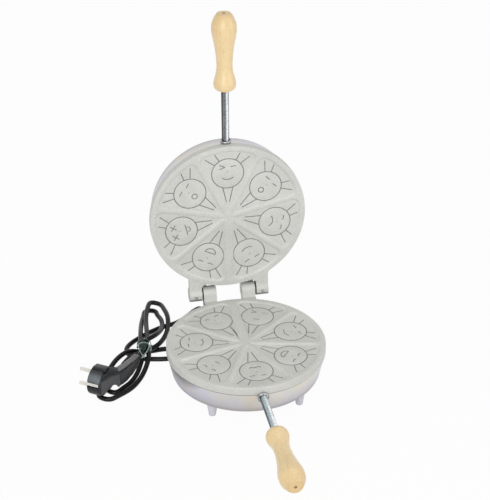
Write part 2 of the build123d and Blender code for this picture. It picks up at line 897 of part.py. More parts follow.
# Free stretch of the lead: places from the gland's tip with their share of the way down, then from the waist
falling = ((-3.0, 11.2, 0), (-9.4, 18.4, 0.25), (-20.0, 22.4, 0.62), (-34.0, 22.6, 0.92))
lying = ((37.5, 61.5), (20, 53.5), (3.5, 42.8), (-11, 32), (-20, 20), (-20, 7.5), (-13.5, -1.5))
plug_route = [gate("top"), boot_lead, boot_tip]


def lead_route():
    """from the gland's tip down to the table and round to the waist"""
    reach = casing_radius_at(gland_depth) + gland_length
    tip = (reach * cos(radians(gland_azimuth)), reach * sin(radians(gland_azimuth)))
    points = [(tip[0], tip[1], -gland_depth)]
    for dx, dy, share in falling:
        points.append((tip[0] + dx, tip[1] + dy, -gland_depth + share * (lay(0) + gland_depth)))
    return points + [(waist[0] + dx, waist[1] + dy, lay(0)) for dx, dy in lying]


def whole_route():
    points = lead_route()
    for settings in loops:
        points += hank_loop(**settings)
    return points + plug_route


def corner_radii(points):
    """largest tangent arc that each corner's two runs allow"""
    corners = [Vector(*point) for point in points]
    radii = []
    for before, corner, after in zip(corners, corners[1:], corners[2:]):
        turn = radians((corner - before).get_angle(after - corner))
        run = min((corner - before).length, (after - corner).length)
        radii.append(arc_share * run / tan(turn / 2))
    return radii


def tube(points, radii):
    path = FilletPolyline(*points, radius=radii)
    wire = path.wire() if hasattr(path, "wire") else path
    start = Plane(origin=wire @ 0, z_dir=wire % 0)
    return sweep(start * Circle(cord_radius), path=wire), wire


def least_gap(wire):
    """smallest clear distance between stretches of the wound cord, measured on points"""
    edges = wire.order_edges()
    places, walked, along = [], [], 0.0
    for edge in edges:
        steps = max(2, int(edge.length / walk_step))
        for step in range(steps):
            places.append(tuple(edge @ (step / steps)))
            walked.append(along + edge.length * step / steps)
        along += edge.length
    least = 2 * plate_radius
    for i, here in enumerate(places):
        for j in range(i + 1, len(places)):
            if walked[j] - walked[i] > 8 * cord_radius:
                least = min(least, dist(here, places[j]) - 2 * cord_radius)
    return least


def cords():
    """free stretch of the lead and its hank, split in the middle of a straight run"""
    points = whole_route()
    radii = corner_radii(points)
    count = len(lead_route())
    before, after = points[count - 1], points[count]
    split = tuple((a + b) / 2 for a, b in zip(before, after))
    lead, lead_wire = tube(points[:count] + [split], radii[:count - 1])
    hank, hank_wire = tube([split] + points[count:], radii[count - 1:])
    section = pi * cord_radius**2
    print("lead radii", [round(radius, 1) for radius in radii[:count - 1]])
    print("hank radii", [round(radius, 1) for radius in radii[count - 1:]])
    for name, solid, wire in (("lead", lead, lead_wire), ("hank", hank, hank_wire)):
        print(name, "length", round(wire.length, 1), "volume share", round(solid.volume / section / wire.length, 4))
    print("hank least gap", round(least_gap(hank_wire), 2))
    return lead, hank


def twist_tie():
    """band round the strands of the waist"""
    wide, tall = tie_right - tie_left, tie_high - tie_low
    inner = RectangleRounded(wide, tall, tie_corner)
    outer = RectangleRounded(wide + 2 * tie_thickness, tall + 2 * tie_thickness, tie_corner + tie_thickness)
    band = extrude(Plane.XZ * (outer - inner), tie_width / 2, both=True)
    return Pos(waist[0] + (tie_left + tie_right) / 2, waist[1], table + (tie_low + tie_high) / 2) * band


# Plug


def plug_pose(shape):
    """from a drawing with the plug's face at the origin and its back towards +X to its place"""
    return Pos(plug_face_x, plug_y, plug_z) * Rot(0, 0, -plug_turn) * shape


def boot_section(wide, tall, corner, along):
    """upright outline square to the boot, at a distance from its root"""
    tip = Vector(*boot_tip)
    way = (Vector(*boot_lead) - tip).normalized()
    origin = tip - way * (boot_length - along)
    return Plane(origin=origin, x_dir=(-way.Y, way.X, 0), z_dir=way) * RectangleRounded(wide, tall, corner)


def plug_body():
    """round front, and a neck that bends from its back to the boot's root"""
    disc = rod_along_x(plug_disc_radius, 0, plug_disc_depth)
    disc = fillet(disc.edges().sort_by(Axis.X)[0], plug_round)
    back = Plane(origin=(plug_disc_depth, 0, 0), x_dir=(0, 1, 0), z_dir=(1, 0, 0))
    neck = loft([
        plug_pose(back * RectangleRounded(plug_body_wide, plug_body_tall, plug_body_corner)),
        boot_section(plug_root_wide, plug_root_tall, plug_body_corner, 0),
    ])
    body = plug_pose(disc) + neck
    for side in (-1, 1):
        near, far = sorted((side * slot_floor, side * (plug_disc_radius + 1)))
        body -= plug_pose(block(-1, clip_length + clip_end_gap, near, far, -clip_slot / 2, clip_slot / 2))
        bore = rod_along_x(pin_root_radius + running_gap, -1, pin_seat)
        body -= plug_pose(Pos(0, 0, side * pin_spacing / 2) * bore)
    return body


def plug_boot():
    """tapered boot from the plug's neck to the hank"""
    return loft([
        boot_section(boot_root_wide, boot_root_tall, boot_corner, 0),
        boot_section(boot_tip_wide, boot_tip_wide, boot_corner, boot_length),
    ])


def plug_pins():
    """two pins, each on a thicker root moulded into the plug"""
    step = pin_root_radius - pin_radius
    pins = []
    for side in (-1, 1):
        pin = rod_along_x(pin_radius, -pin_length, 0)
        pin = chamfer(pin.edges().sort_by(Axis.X)[0], pin_chamfer)
        pin += Pos(-step / 2, 0, 0) * Rot(0, 90, 0) * Cone(pin_radius, pin_root_radius, step)
        pin += rod_along_x(pin_root_radius, 0, pin_seat - pin_end_gap)
        pins.append(plug_pose(Pos(0, 0, side * pin_spacing / 2) * pin))
    return Compound(children=[Part(pin.wrapped) for pin in pins])


def plug_clips():
    clips = []
    for side in (-1, 1):
        floor = slot_floor + running_gap
        near, far = sorted((side * floor, side * (floor + clip_thickness)))
        clips.append(plug_pose(block(0, clip_length, near, far, -clip_width / 2, clip_width / 2)))
    return Compound(children=[Part(clip.wrapped) for clip in clips])


# Assembly


def open_lid(shape):
    """turn a lid piece over onto the base, then open it on the hinge"""
    closed = Pos(0, 0, closed_gap) * Rot(0, 180, 0) * shape
    hinge = Pos(0, hinge_back, hinge_rise)
    return hinge * Rot(-open_angle, 0, 0) * Pos(0, -hinge_back, -hinge_rise) * closed


def base_pieces():
    holes = [
        passage(gland_azimuth, gland_neck_radius + bush_play),
        passage(bush_azimuth, bush_neck_radius + bush_play),
    ]
    floor = -(lip_depth + casing_depth)
    for x, y in foot_places().values():
        holes.append(drum(foot_screw_radius + running_gap, floor + 2 * casing_wall, floor - 1, x, y))
    pieces = {
        "base_plate": base_plate(),
        "base_casing": casing(holes),
        "base_heater": heater(gland_azimuth),
        "base_thermostat": thermostat(base_web),
        "base_insulation": insulation(),
        "base_terminal_block": terminal_block(gland_azimuth),
        "base_wires": wires(gland_azimuth),
        "base_casing_screw": casing_screw(),
        "base_rod": rod(),
        "base_rod_collar": rod_collar(),
        "base_handle": handle(),
        "base_link_bush": link_bush(),
        "cord_gland": cord_gland(),
        "inner_lead": inner_lead(),
        "foot_screws": at_feet(foot_screw()),
        "foot_nuts": at_feet(foot_nut()),
    }
    for name, (x, y) in foot_places().items():
        pieces["foot_" + name] = Pos(x, y, 0) * foot()
    return pieces


def lid_pieces():
    pieces = {
        "lid_plate": lid_plate(),
        "lid_casing": casing([passage(bush_azimuth, bush_neck_radius + bush_play)]),
        "lid_heater": heater(bush_azimuth),
        "lid_thermostat": thermostat(lid_web),
        "lid_insulation": insulation(),
        "lid_terminal_block": terminal_block(bush_azimuth),
        "lid_wires": wires(bush_azimuth),
        "lid_casing_screw": casing_screw(),
        "lid_rod": rod(),
        "lid_rod_collar": rod_collar(),
        "lid_handle": handle(),
        "lid_link_bush": link_bush(),
        "hinge_pin_left": hinge_pin(1),
        "hinge_pin_right": hinge_pin(-1),
        "hinge_set_screws": set_screws(),
    }
    return {name: open_lid(piece) for name, piece in pieces.items()}


def cord_pieces():
    lead, hank = cords()
    return {
        "cord_lead": lead,
        "cord_hank": hank,
        "twist_tie": twist_tie(),
        "plug_body": plug_body(),
        "plug_boot": plug_boot(),
        "plug_pins": plug_pins(),
        "plug_earth_clips": plug_clips(),
    }


os.makedirs("parts", exist_ok=True)
object_pieces = {**base_pieces(), **lid_pieces()}
front = min(piece.bounding_box().min.Y for piece in object_pieces.values())
back = max(piece.bounding_box().max.Y for piece in object_pieces.values())
to_table = Pos(0, -(front + back) / 2, face_height)
print("moved back by", round(-(front + back) / 2, 3))
for node, piece in {**object_pieces, **cord_pieces()}.items():
    export_step(to_table * piece, "parts/" + node + ".step")
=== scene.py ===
import json
import math
import bpy
from mathutils import Matrix, Vector


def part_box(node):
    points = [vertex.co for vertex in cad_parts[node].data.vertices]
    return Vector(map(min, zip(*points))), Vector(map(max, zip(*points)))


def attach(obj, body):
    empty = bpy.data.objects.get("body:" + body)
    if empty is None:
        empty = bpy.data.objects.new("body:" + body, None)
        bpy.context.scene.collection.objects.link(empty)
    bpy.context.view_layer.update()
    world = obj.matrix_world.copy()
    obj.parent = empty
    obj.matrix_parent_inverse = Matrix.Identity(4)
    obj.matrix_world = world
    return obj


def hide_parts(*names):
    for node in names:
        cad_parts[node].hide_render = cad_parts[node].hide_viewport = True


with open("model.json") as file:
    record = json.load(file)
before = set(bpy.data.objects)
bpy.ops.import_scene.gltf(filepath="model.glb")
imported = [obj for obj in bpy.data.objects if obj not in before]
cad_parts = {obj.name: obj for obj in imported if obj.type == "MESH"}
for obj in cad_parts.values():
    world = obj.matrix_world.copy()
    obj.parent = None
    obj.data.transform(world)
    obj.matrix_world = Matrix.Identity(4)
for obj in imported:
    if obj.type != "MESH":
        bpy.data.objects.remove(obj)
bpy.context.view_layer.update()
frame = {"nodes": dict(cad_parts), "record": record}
nodes = frame["nodes"]
mm = 0.001

# the part is drawn in millimetres round the centre of the base plate's face
casingLow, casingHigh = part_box("base_casing")
plateSet = {"lip": 10, "radius": 100, "hingeBack": 112, "hingeRise": 6, "openAngle": 91, "closedGap": 0.4,
            "rodDepth": 13.5, "rodTilt": 0.95, "casingDepth": 32}
faceHeight = casingHigh[2] + plateSet["lip"] * mm
backShift = (casingLow[1] + casingHigh[1]) / 2
tableZ = -faceHeight / mm
casingFloor = -plateSet["lip"] - plateSet["casingDepth"]
localX, localZ = (1, 0, 0), (0, 0, 1)


def moved(x, y, z):
    return Matrix.Translation((x * mm, y * mm, z * mm))


def turn(angle, axis):
    return Matrix.Rotation(math.radians(angle), 4, axis)


baseFrame = Matrix.Translation((0, backShift, faceHeight))
hingeAt = moved(0, plateSet["hingeBack"], plateSet["hingeRise"])
lidFrame = (baseFrame @ hingeAt @ turn(-plateSet["openAngle"], "X") @ hingeAt.inverted()
            @ moved(0, 0, plateSet["closedGap"]) @ turn(180, "Y"))
rodLine = (moved(0, -plateSet["radius"], -plateSet["rodDepth"]) @ turn(plateSet["rodTilt"], "X")
           @ moved(0, plateSet["radius"], 0) @ turn(90, "X"))   # local Z runs out along the rod
pinLine = lidFrame @ moved(0, plateSet["hingeBack"], plateSet["closedGap"] - plateSet["hingeRise"])
halves = {"base": baseFrame, "lid": lidFrame}
print("stage: frame", round(backShift, 6), round(faceHeight, 6))


# modelling helpers

def clearSelection():
    if bpy.context.mode != "OBJECT":
        bpy.ops.object.mode_set(mode="OBJECT")
    bpy.ops.object.select_all(action="DESELECT")


def pick(piece):
    clearSelection()
    piece.select_set(True)
    bpy.context.view_layer.objects.active = piece


def settle(piece, matrix):
    pick(piece)
    piece.matrix_world = matrix
    bpy.ops.object.transform_apply(location=True, rotation=True, scale=True)


def outwards(piece):
    pick(piece)
    bpy.ops.object.mode_set(mode="EDIT")
    bpy.ops.mesh.select_all(action="SELECT")
    bpy.ops.mesh.normals_make_consistent(inside=False)
    bpy.ops.object.mode_set(mode="OBJECT")


def softEdges(piece, shade, width=0, angle=40):
    pick(piece)
    if width:
        bevel = piece.modifiers.new("edges", "BEVEL")
        bevel.width, bevel.segments = width * mm, 2
        bevel.limit_method, bevel.angle_limit = "ANGLE", math.radians(angle)
        bpy.ops.object.modifier_apply(modifier="edges")
    bpy.ops.object.shade_smooth_by_angle(angle=math.radians(shade))


def turned(name, rings, steps=64):   # rings are (distance, radius) along local Z, closed at both ends
    clearSelection()
    at, radius = rings[0]
    bpy.ops.mesh.primitive_circle_add(vertices=steps, radius=radius * mm, fill_type="TRIFAN",
                                      location=(0, 0, at * mm))
    piece = bpy.context.object
    piece.name = name
    bpy.ops.object.mode_set(mode="EDIT")
    for nextAt, nextRadius in rings[1:]:
        step = (0, 0, (nextAt - at) * mm)
        bpy.ops.mesh.extrude_region_move(TRANSFORM_OT_translate={"value": step})
        grow = nextRadius / radius
        bpy.ops.transform.resize(value=(grow, grow, 1), center_override=(0, 0, nextAt * mm))
        at, radius = nextAt, nextRadius
    bpy.ops.object.mode_set(mode="OBJECT")
    bpy.ops.object.transform_apply(location=True, rotation=True, scale=True)
    outwards(piece)
    return piece


def lofted(name, sections, corner, rounding=6):   # sections are (place, width, height) of a rounded rectangle
    clearSelection()
    place, wide, tall = sections[0]
    place = Vector(place) * mm
    bpy.ops.mesh.primitive_plane_add(size=1, location=place)
    piece = bpy.context.object
    piece.name = name
    bpy.ops.object.mode_set(mode="EDIT")
    bpy.ops.transform.resize(value=(wide * mm, tall * mm, 1), center_override=place)
    bpy.ops.mesh.bevel(affect="VERTICES", offset=corner * mm, offset_pct=0, segments=rounding)
    for nextPlace, nextWide, nextTall in sections[1:]:
        nextPlace = Vector(nextPlace) * mm
        bpy.ops.mesh.extrude_region_move(TRANSFORM_OT_translate={"value": nextPlace - place})
        bpy.ops.transform.resize(value=(nextWide / wide, nextTall / tall, 1), center_override=nextPlace)
        place, wide, tall = nextPlace, nextWide, nextTall
    bpy.ops.object.mode_set(mode="OBJECT")
    bpy.ops.object.transform_apply(location=True, rotation=True, scale=True)
    outwards(piece)
    return piece


def bent(name, path, corner, rounding=6):   # upright rounded sections: place, heading, width, height
    spacing = 10
    piece = lofted(name, [((0, 0, step * spacing), wide, tall) for step, (*_, wide, tall) in enumerate(path)],
                   corner, rounding)
    for vertex in piece.data.vertices:
        x, y, z, heading, *_ = path[round(vertex.co.z / mm / spacing)]
        across, up = vertex.co.x, vertex.co.y
        side = math.radians(heading)
        vertex.co = (x * mm - across * math.sin(side), y * mm + across * math.cos(side), z * mm + up)
    outwards(piece)
    return piece


def box(name, low, high, width=0.4):   # block between two corners, in mm, with softened edges
    clearSelection()
    middle = [(a + b) / 2 * mm for a, b in zip(low, high)]
    bpy.ops.mesh.primitive_cube_add(size=1, location=middle)
    piece = bpy.context.object
    piece.name = name
    bpy.ops.object.mode_set(mode="EDIT")
    bpy.ops.transform.resize(value=[(b - a) * mm for a, b in zip(low, high)], center_override=middle)
    bpy.ops.mesh.bevel(affect="EDGES", offset=width * mm, segments=3)
    bpy.ops.object.mode_set(mode="OBJECT")
    bpy.ops.object.transform_apply(location=True, rotation=True, scale=True)
    return piece


def cutAway(piece, cutter):
    pick(piece)
    boolean = piece.modifiers.new("cut", "BOOLEAN")
    boolean.object, boolean.operation, boolean.solver = cutter, "DIFFERENCE", "EXACT"
    bpy.ops.object.modifier_apply(modifier="cut")
    bpy.data.objects.remove(cutter, do_unlink=True)


def joined(name, parts):
    clearSelection()
    for part in parts:
        part.select_set(True)
    bpy.context.view_layer.objects.active = parts[0]
    if len(parts) > 1:
        bpy.ops.object.join()
    piece = bpy.context.object
    piece.name = piece.data.name = name
    return piece


def smoothProfile(points, steps):   # an eased curve through the points
    rings = []
    for i in range(len(points) - 1):
        before, start = points[max(i - 1, 0)], points[i]
        end, after = points[i + 1], points[min(i + 2, len(points) - 1)]
        for step in range(steps):
            t = step / steps
            ring = []
            for a, b, c, d in zip(before, start, end, after):
                ring.append(0.5 * (2 * b + (c - a) * t + (2 * a - 5 * b + 4 * c - d) * t**2
                                   + (3 * b - a - 3 * c + d) * t**3))
            rings.append(tuple(ring))
    return rings + [points[-1]]


def pinRings(start, end, radius, first, last):   # past the start or before the end, less than the radius
    rings = [(start + past, radius - less) for past, less in first]
    return rings + [(end - before, radius - less) for before, less in last]


def newCurve(name, kind, points, dimensions="3D", origin=(0, 0, 0)):   # one spline, its points in mm
    curve = bpy.data.curves.new(name, "CURVE")
    curve.dimensions = dimensions
    spline = curve.splines.new(kind)
    spline.points.add(len(points) - 1)
    for point, place in zip(spline.points, points):
        point.co = (*(start + value * mm for start, value in zip(origin, place)), 1)
    piece = bpy.data.objects.new(name, curve)
    bpy.context.scene.collection.objects.link(piece)
    return piece, curve, spline


def carried(piece, body, slotName, *replaced):
    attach(piece, body)
    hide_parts(*replaced)


def own(piece, look, body, slotName, *replaced):
    piece.data.materials.clear()
    piece.data.materials.append(looks[look])
    carried(piece, body, slotName, *replaced)


def finished(piece, line, shade, look, body, slotName, *replaced, width=0, angle=40):
    settle(piece, line)
    softEdges(piece, shade, width, angle)
    own(piece, look, body, slotName, *replaced)


# plug: local Z runs from its face towards the pins, X up, Y back
plugSet = {"face": (-192.5, 8.3, -34.5), "turn": 35, "roll": 12, "discRadius": 18.5, "discDepth": 17.6,
           # distance from the back or from the face, less than the radius
           "backEdge": [(0, 6.5), (0, 2.2), (0.3, 1.2), (1.1, 0.3), (2.2, 0)],
           "faceEdge": [(2.2, 0), (1.9, 0.35), (1.5, 0.35), (1.2, 0.1), (0.5, 0.4), (0.1, 1.1), (0, 1.8),
                        (0, 10.5)],
           "slot": (15.4, 19.5), "slotHalf": 3, "slotFloor": 0.9,
           "clip": (15.5, 17.4), "clipHalf": 2, "clipEnds": (1.8, -0.1),
           "rail": ((16, -7.5, -19.1), (20, 4.5, -1.6)), "neckCorner": 6.5, "bootCorner": 2.6, "facetUp": 0.8,
           "pinSpacing": 19, "pinRadius": 2.4, "pinLength": 19,
           "pinRoot": [(-9, -0.5), (0, -0.55), (0.1, -0.5), (0.6, 0)],
           "pinTip": [(1.6, 0), (0.9, 0.25), (0.3, 0.8), (0, 1.6)],
           # middle of each section in the base plate's frame, its heading, width and height
           "neck": [(-181.0, 0.2, -34.5, -35, 26, 30.5), (-177.9, -1.8, -34.4, -35, 26, 30.5),
                    (-175.4, -0.6, -32.9, -25, 20.5, 27.0), (-172.6, 2.0, -31.9, -14, 16.5, 24.4),
                    (-169.8, 4.2, -31.5, -8, 15, 22.6), (-167.0, 5.6, -31.9, -4, 14.6, 21.4),
                    (-164.6, 6.4, -33.3, 0, 15, 21.6), (-162.6, 6.8, -35.0, 3, 15.8, 22.8),
                    (-161.4, 7.2, -35.6, 5, 15.8, 23.0), (-160.9, 7.6, -35.6, 5, 14, 20)],
           "boot": [(-164.0, 6.6, -35.6, 3, 12.0, 20.0), (-163.4, 6.8, -35.6, 3, 14.6, 22.4),
                    (-161.0, 8.8, -35.9, 8, 14.2, 22.6), (-156.4, 13.6, -36.7, 22, 13.2, 22.4),
                    (-151.0, 19.2, -37.4, 36, 11.8, 21.6), (-150.7, 19.6, -37.4, 36, 11.0, 20.8),
                    (-143.4, 29.2, -37.9, 48, 10.8, 19.4), (-143.1, 29.6, -37.9, 48, 10.0, 18.6),
                    (-136.4, 38.4, -37.2, 51, 9.6, 14.6), (-133.0, 42.8, -36.0, 51, 9.2, 11.0),
                    (-132.0, 44.5, -35.7, 51, 8.4, 9.6)]}
plugFrame = (baseFrame @ moved(*plugSet["face"]) @ turn(-plugSet["turn"], "Z") @ turn(-90, "Y")
             @ turn(plugSet["roll"], "Z"))


# materials: a shader node's sockets each take a link or a fixed value

def fill(tree, part, sockets):
    for name, value in sockets.items():
        if isinstance(value, bpy.types.NodeSocket):
            tree.links.new(value, part.inputs[name])
        else:
            part.inputs[name].default_value = value


def made(tree, kind, sockets, **choices):
    part = tree.nodes.new(kind)
    for name, value in choices.items():
        setattr(part, name, value)
    fill(tree, part, sockets)
    return part


def newMaterial(name, roughness=0.5, metallic=0.0, specular=0.5):
    material = bpy.data.materials.new(name)
    material.use_nodes = True
    tree = material.node_tree
    shader = tree.nodes["Principled BSDF"]
    fill(tree, shader, {"Roughness": roughness, "Metallic": metallic, "Specular IOR Level": specular})
    return material, tree, shader


def objectPoints(tree):
    return made(tree, "ShaderNodeTexCoord", {}).outputs["Object"]


def ownPlace(tree, matrix):   # a point in the frame in which the piece is drawn
    inverse = matrix.inverted()
    sockets = {"Vector": objectPoints(tree), "Rotation": inverse.to_euler(),
               "Location": inverse.to_translation()}
    return made(tree, "ShaderNodeMapping", sockets).outputs["Vector"]


def stretched(tree, vector, share, shift=(0, 0, 0)):   # a pattern drawn out along local Z
    sockets = {"Vector": vector, "Scale": (1, 1, share), "Location": shift}
    return made(tree, "ShaderNodeMapping", sockets).outputs["Vector"]


def noise(tree, vector, scale, detail=4, roughness=0.5):
    sockets = {"Vector": vector, "Scale": scale, "Detail": detail, "Roughness": roughness}
    return made(tree, "ShaderNodeTexNoise", sockets).outputs["Fac"]


def opaque(tone):   # a tone is a grey level or a colour
    return (*tone, 1) if isinstance(tone, tuple) else (tone, tone, tone, 1)


def ramp(tree, factor, stops):   # stops are (position, tone)
    band = made(tree, "ShaderNodeValToRGB", {"Fac": factor})
    elements = band.color_ramp.elements
    elements[0].position, elements[0].color = stops[0][0], opaque(stops[0][1])
    elements[1].position, elements[1].color = stops[-1][0], opaque(stops[-1][1])
    for position, tone in stops[1:-1]:
        elements.new(position).color = opaque(tone)
    return band.outputs["Color"]


def span(tree, factor, low, high):
    sockets = {"Value": factor, "To Min": low, "To Max": high}
    return made(tree, "ShaderNodeMapRange", sockets).outputs["Result"]


def shareAlong(tree, vector, towards, start, end):   # 0 at start and 1 at end along one direction, in mm
    along = made(tree, "ShaderNodeVectorMath", {0: vector, 1: towards}, operation="DOT_PRODUCT")
    sockets = {"Value": along.outputs["Value"], "From Min": start * mm, "From Max": end * mm}
    return made(tree, "ShaderNodeMapRange", sockets).outputs["Result"]


def bump(tree, height, distance, strength=1.0, under=None):
    sockets = {"Height": height, "Distance": distance * mm, "Strength": strength}
    if under is not None:
        sockets["Normal"] = under
    return made(tree, "ShaderNodeBump", sockets).outputs["Normal"]


def mixed(tree, first, second, share=1.0, way="MULTIPLY"):
    sockets = {"Factor": share, "A": first, "B": second}
    return made(tree, "ShaderNodeMix", sockets, data_type="RGBA", blend_type=way).outputs["Result"]


def layered(tree, *layers):   # ramps multiplied with each other
    tint = ramp(tree, *layers[0])
    for layer in layers[1:]:
        tint = mixed(tree, tint, ramp(tree, *layer))
    return tint


def mottled(name, dark, light, scales, roughness, grainDepth=0.02, grainStrength=0.5, wave=0.05,
            speckle=None, **basics):   # moulded, cast or plated: patchy colour, a fine grain, uneven gloss
    material, tree, shader = newMaterial(name, **basics)
    points = objectPoints(tree)
    patches = noise(tree, points, scales[0], 5, 0.6)
    grain = noise(tree, points, scales[1], 3, 0.6)
    layers = [(patches, [(0.3, dark), (0.7, light)])]
    if speckle:
        layers.append((grain, [(0.32, speckle[0]), (0.68, speckle[1])]))
    fine = bump(tree, grain, grainDepth, grainStrength, bump(tree, patches, wave, 0.5))
    fill(tree, shader, {"Base Color": layered(tree, *layers), "Normal": fine,
                        "Roughness": span(tree, patches, *roughness)})
    return material


# dark and light tone, scales of the patches and of the grain, depth of the grain in mm if not 0.02
finishes = {
    "castPlate": {"dark": (0.63, 0.63, 0.595), "light": (0.71, 0.71, 0.67), "scales": (22, 620),
                  "grainDepth": 0.35, "grainStrength": 0.7, "roughness": (0.52, 0.68), "metallic": 0.15,
                  "wave": 0.25, "speckle": (0.9, 1.07)},
    "grooveDirtAndShade": {"dark": (0.17, 0.17, 0.16), "light": (0.28, 0.28, 0.265), "scales": (90, 2600),
                   "grainDepth": 0.05, "roughness": (0.6, 0.75)},
    "collarSteel": {"dark": (0.33, 0.33, 0.34), "light": (0.6, 0.6, 0.61), "scales": (120, 1500),
                    "roughness": (0.14, 0.28), "metallic": 1.0},
    "screwSteel": {"dark": (0.4, 0.4, 0.4), "light": (0.6, 0.6, 0.59), "scales": (150, 1800),
                   "roughness": (0.25, 0.42), "metallic": 1.0},
    "elementSteel": {"dark": (0.17, 0.165, 0.16), "light": (0.3, 0.29, 0.27), "scales": (90, 1200),
                     "grainDepth": 0.03, "roughness": (0.4, 0.6), "metallic": 0.9},
    "thermostatCase": {"dark": (0.5, 0.5, 0.5), "light": (0.66, 0.66, 0.65), "scales": (140, 1600),
                       "roughness": (0.3, 0.45), "metallic": 1.0},
    "mineralWool": {"dark": (0.55, 0.51, 0.42), "light": (0.78, 0.74, 0.64), "scales": (160, 900),
                    "grainDepth": 0.6, "grainStrength": 0.9, "roughness": (0.9, 1.0)},
    "blockCeramic": {"dark": (0.74, 0.71, 0.66), "light": (0.83, 0.81, 0.77), "scales": (60, 1500),
                     "roughness": (0.18, 0.3)},
    "wireSleeve": {"dark": (0.6, 0.58, 0.52), "light": (0.78, 0.76, 0.7), "scales": (700, 3000),
                   "grainDepth": 0.1, "roughness": (0.75, 0.9)},
    "footPlastic": {"dark": (0.66, 0.645, 0.72), "light": (0.73, 0.715, 0.775), "scales": (90, 2400),
                    "roughness": (0.3, 0.42)},
    "cordRubber": {"dark": (0.004, 0.004, 0.005), "light": (0.009, 0.009, 0.01), "scales": (120, 2600),
                   "roughness": (0.24, 0.36), "specular": 0.22},
    "plugBlack": {"dark": (0.005, 0.006, 0.008), "light": (0.014, 0.015, 0.018), "scales": (80, 3000),
                  "grainDepth": 0.03, "roughness": (0.24, 0.36), "specular": 0.42},
    "plugFacetHighlight": {"dark": (0.12, 0.12, 0.13), "light": (0.19, 0.185, 0.2), "scales": (160, 2600),
                  "grainDepth": 0.03, "roughness": (0.35, 0.5), "specular": 0.4},
    "pinNickel": {"dark": (0.62, 0.6, 0.55), "light": (0.8, 0.78, 0.73), "scales": (150, 2000),
                  "grainDepth": 0.01, "roughness": (0.12, 0.24), "metallic": 1.0},
    "tieGreen": {"dark": (0.003, 0.022, 0.013), "light": (0.01, 0.05, 0.03), "scales": (300, 2600),
                 "grainDepth": 0.03, "roughness": (0.25, 0.4), "specular": 0.3},
    "boreBrown": {"dark": (0.42, 0.22, 0.09), "light": (0.52, 0.3, 0.13), "scales": (500, 2600),
                  "roughness": (0.7, 0.9)},
    "tieEdge": {"dark": (0.16, 0.27, 0.22), "light": (0.36, 0.46, 0.41), "scales": (300, 2600),
                "roughness": (0.25, 0.4)},
}
looks = {name: mottled(name, **settings) for name, settings in finishes.items()}

spunSet = {"ringScale": 900, "ringDepth": 0.03, "roughness": (0.34, 0.46), "metallic": 0.7,
           "patchScale": 14, "patchTones": [(0.3, 0.93), (0.7, 1.05)], "hueScale": 24,
           "hues": [(0.36, (1.05, 1.0, 0.9)), (0.5, 1), (0.64, (0.97, 0.98, 1.07))],   # cream and lilac
           # round: painted reflections and shade, cream in front and lilac at the sides
           "round": [(0.0, (0.38, 0.365, 0.41)), (0.035, (0.46, 0.45, 0.49)), (0.09, (0.60, 0.585, 0.63)),
                     (0.25, (0.63, 0.625, 0.65)), (0.42, (0.63, 0.61, 0.59)), (0.6, (0.67, 0.655, 0.62)),
                     (1.0, (0.66, 0.65, 0.67))],   # from the left to the right
           # down: from the rim down, a painted shadow in the seam under the lip, a painted highlight just
           # below it, then painted shade towards the rolled corner
           "down": [(0.0, 0.2), (0.035, (0.3, 0.29, 0.28)), (0.055, (1.08, 1.08, 1.04)), (0.35, 1),
                    (0.7, (0.85, 0.835, 0.855)), (0.88, (0.62, 0.6, 0.62)), (1.0, (0.5, 0.48, 0.5))],
           "leadReflection": {"towards": (-0.956, -0.292, 0.5), "edge": (80, 91), "tone": (0.32, 0.32, 0.33)}}


def spunMetal(half):   # satin shell: faint heat tints, fine turning lines, and painted light: reflections and shade that change from left to right, a painted seam shadow and highlight under the lip, and painted shade darker towards the rolled corner
    material, tree, shader = newMaterial(half + "Casing", metallic=spunSet["metallic"])
    points, place = objectPoints(tree), ownPlace(tree, halves[half])
    patches = noise(tree, points, spunSet["patchScale"], 4, 0.55)
    hues = noise(tree, points, spunSet["hueScale"], 2, 0.5)
    lines = {"Vector": place, "Scale": spunSet["ringScale"], "Distortion": 1.5, "Detail": 2,
             "Detail Scale": 2}
    rings = made(tree, "ShaderNodeTexWave", lines, wave_type="BANDS", bands_direction="Z")
    layers = [(shareAlong(tree, place, localX, -plateSet["radius"], plateSet["radius"]), spunSet["round"]),
              (shareAlong(tree, place, localZ, -plateSet["lip"], casingFloor), spunSet["down"]),
              (patches, spunSet["patchTones"]), (hues, spunSet["hues"])]
    if half == "base":   # painted reflection of the lead beside it
        leadReflection = spunSet["leadReflection"]
        share = shareAlong(tree, place, leadReflection["towards"], *leadReflection["edge"])
        layers.append((share, [(0, 1), (1, leadReflection["tone"])]))
    fill(tree, shader, {"Base Color": layered(tree, *layers),
                        "Roughness": span(tree, patches, *spunSet["roughness"]),
                        "Normal": bump(tree, rings.outputs["Fac"], spunSet["ringDepth"], 0.25)})
    return material


beechSet = {"pale": (0.96, 0.77, 0.44), "mid": (0.93, 0.70, 0.36), "dark": (0.84, 0.54, 0.24),
            "drawn": 0.09, "shift": (0.02, 0.05, 0), "grainScale": 136, "broadScale": 34, "fleckScale": 1260,
            "flecks": [(0.36, (0.88, 0.76, 0.64)), (0.5, 1)], "fleckShare": 0.6, "warmth": (-0.1, 0.42),
            "roughness": (0.28, 0.42), "coat": 0.35, "coatRoughness": 0.22, "endSpan": (240, 270),
            "end": [(0, 1), (0.55, (0.97, 0.96, 0.94)), (0.9, (0.9, 0.88, 0.84)), (1, (0.84, 0.8, 0.73))]}


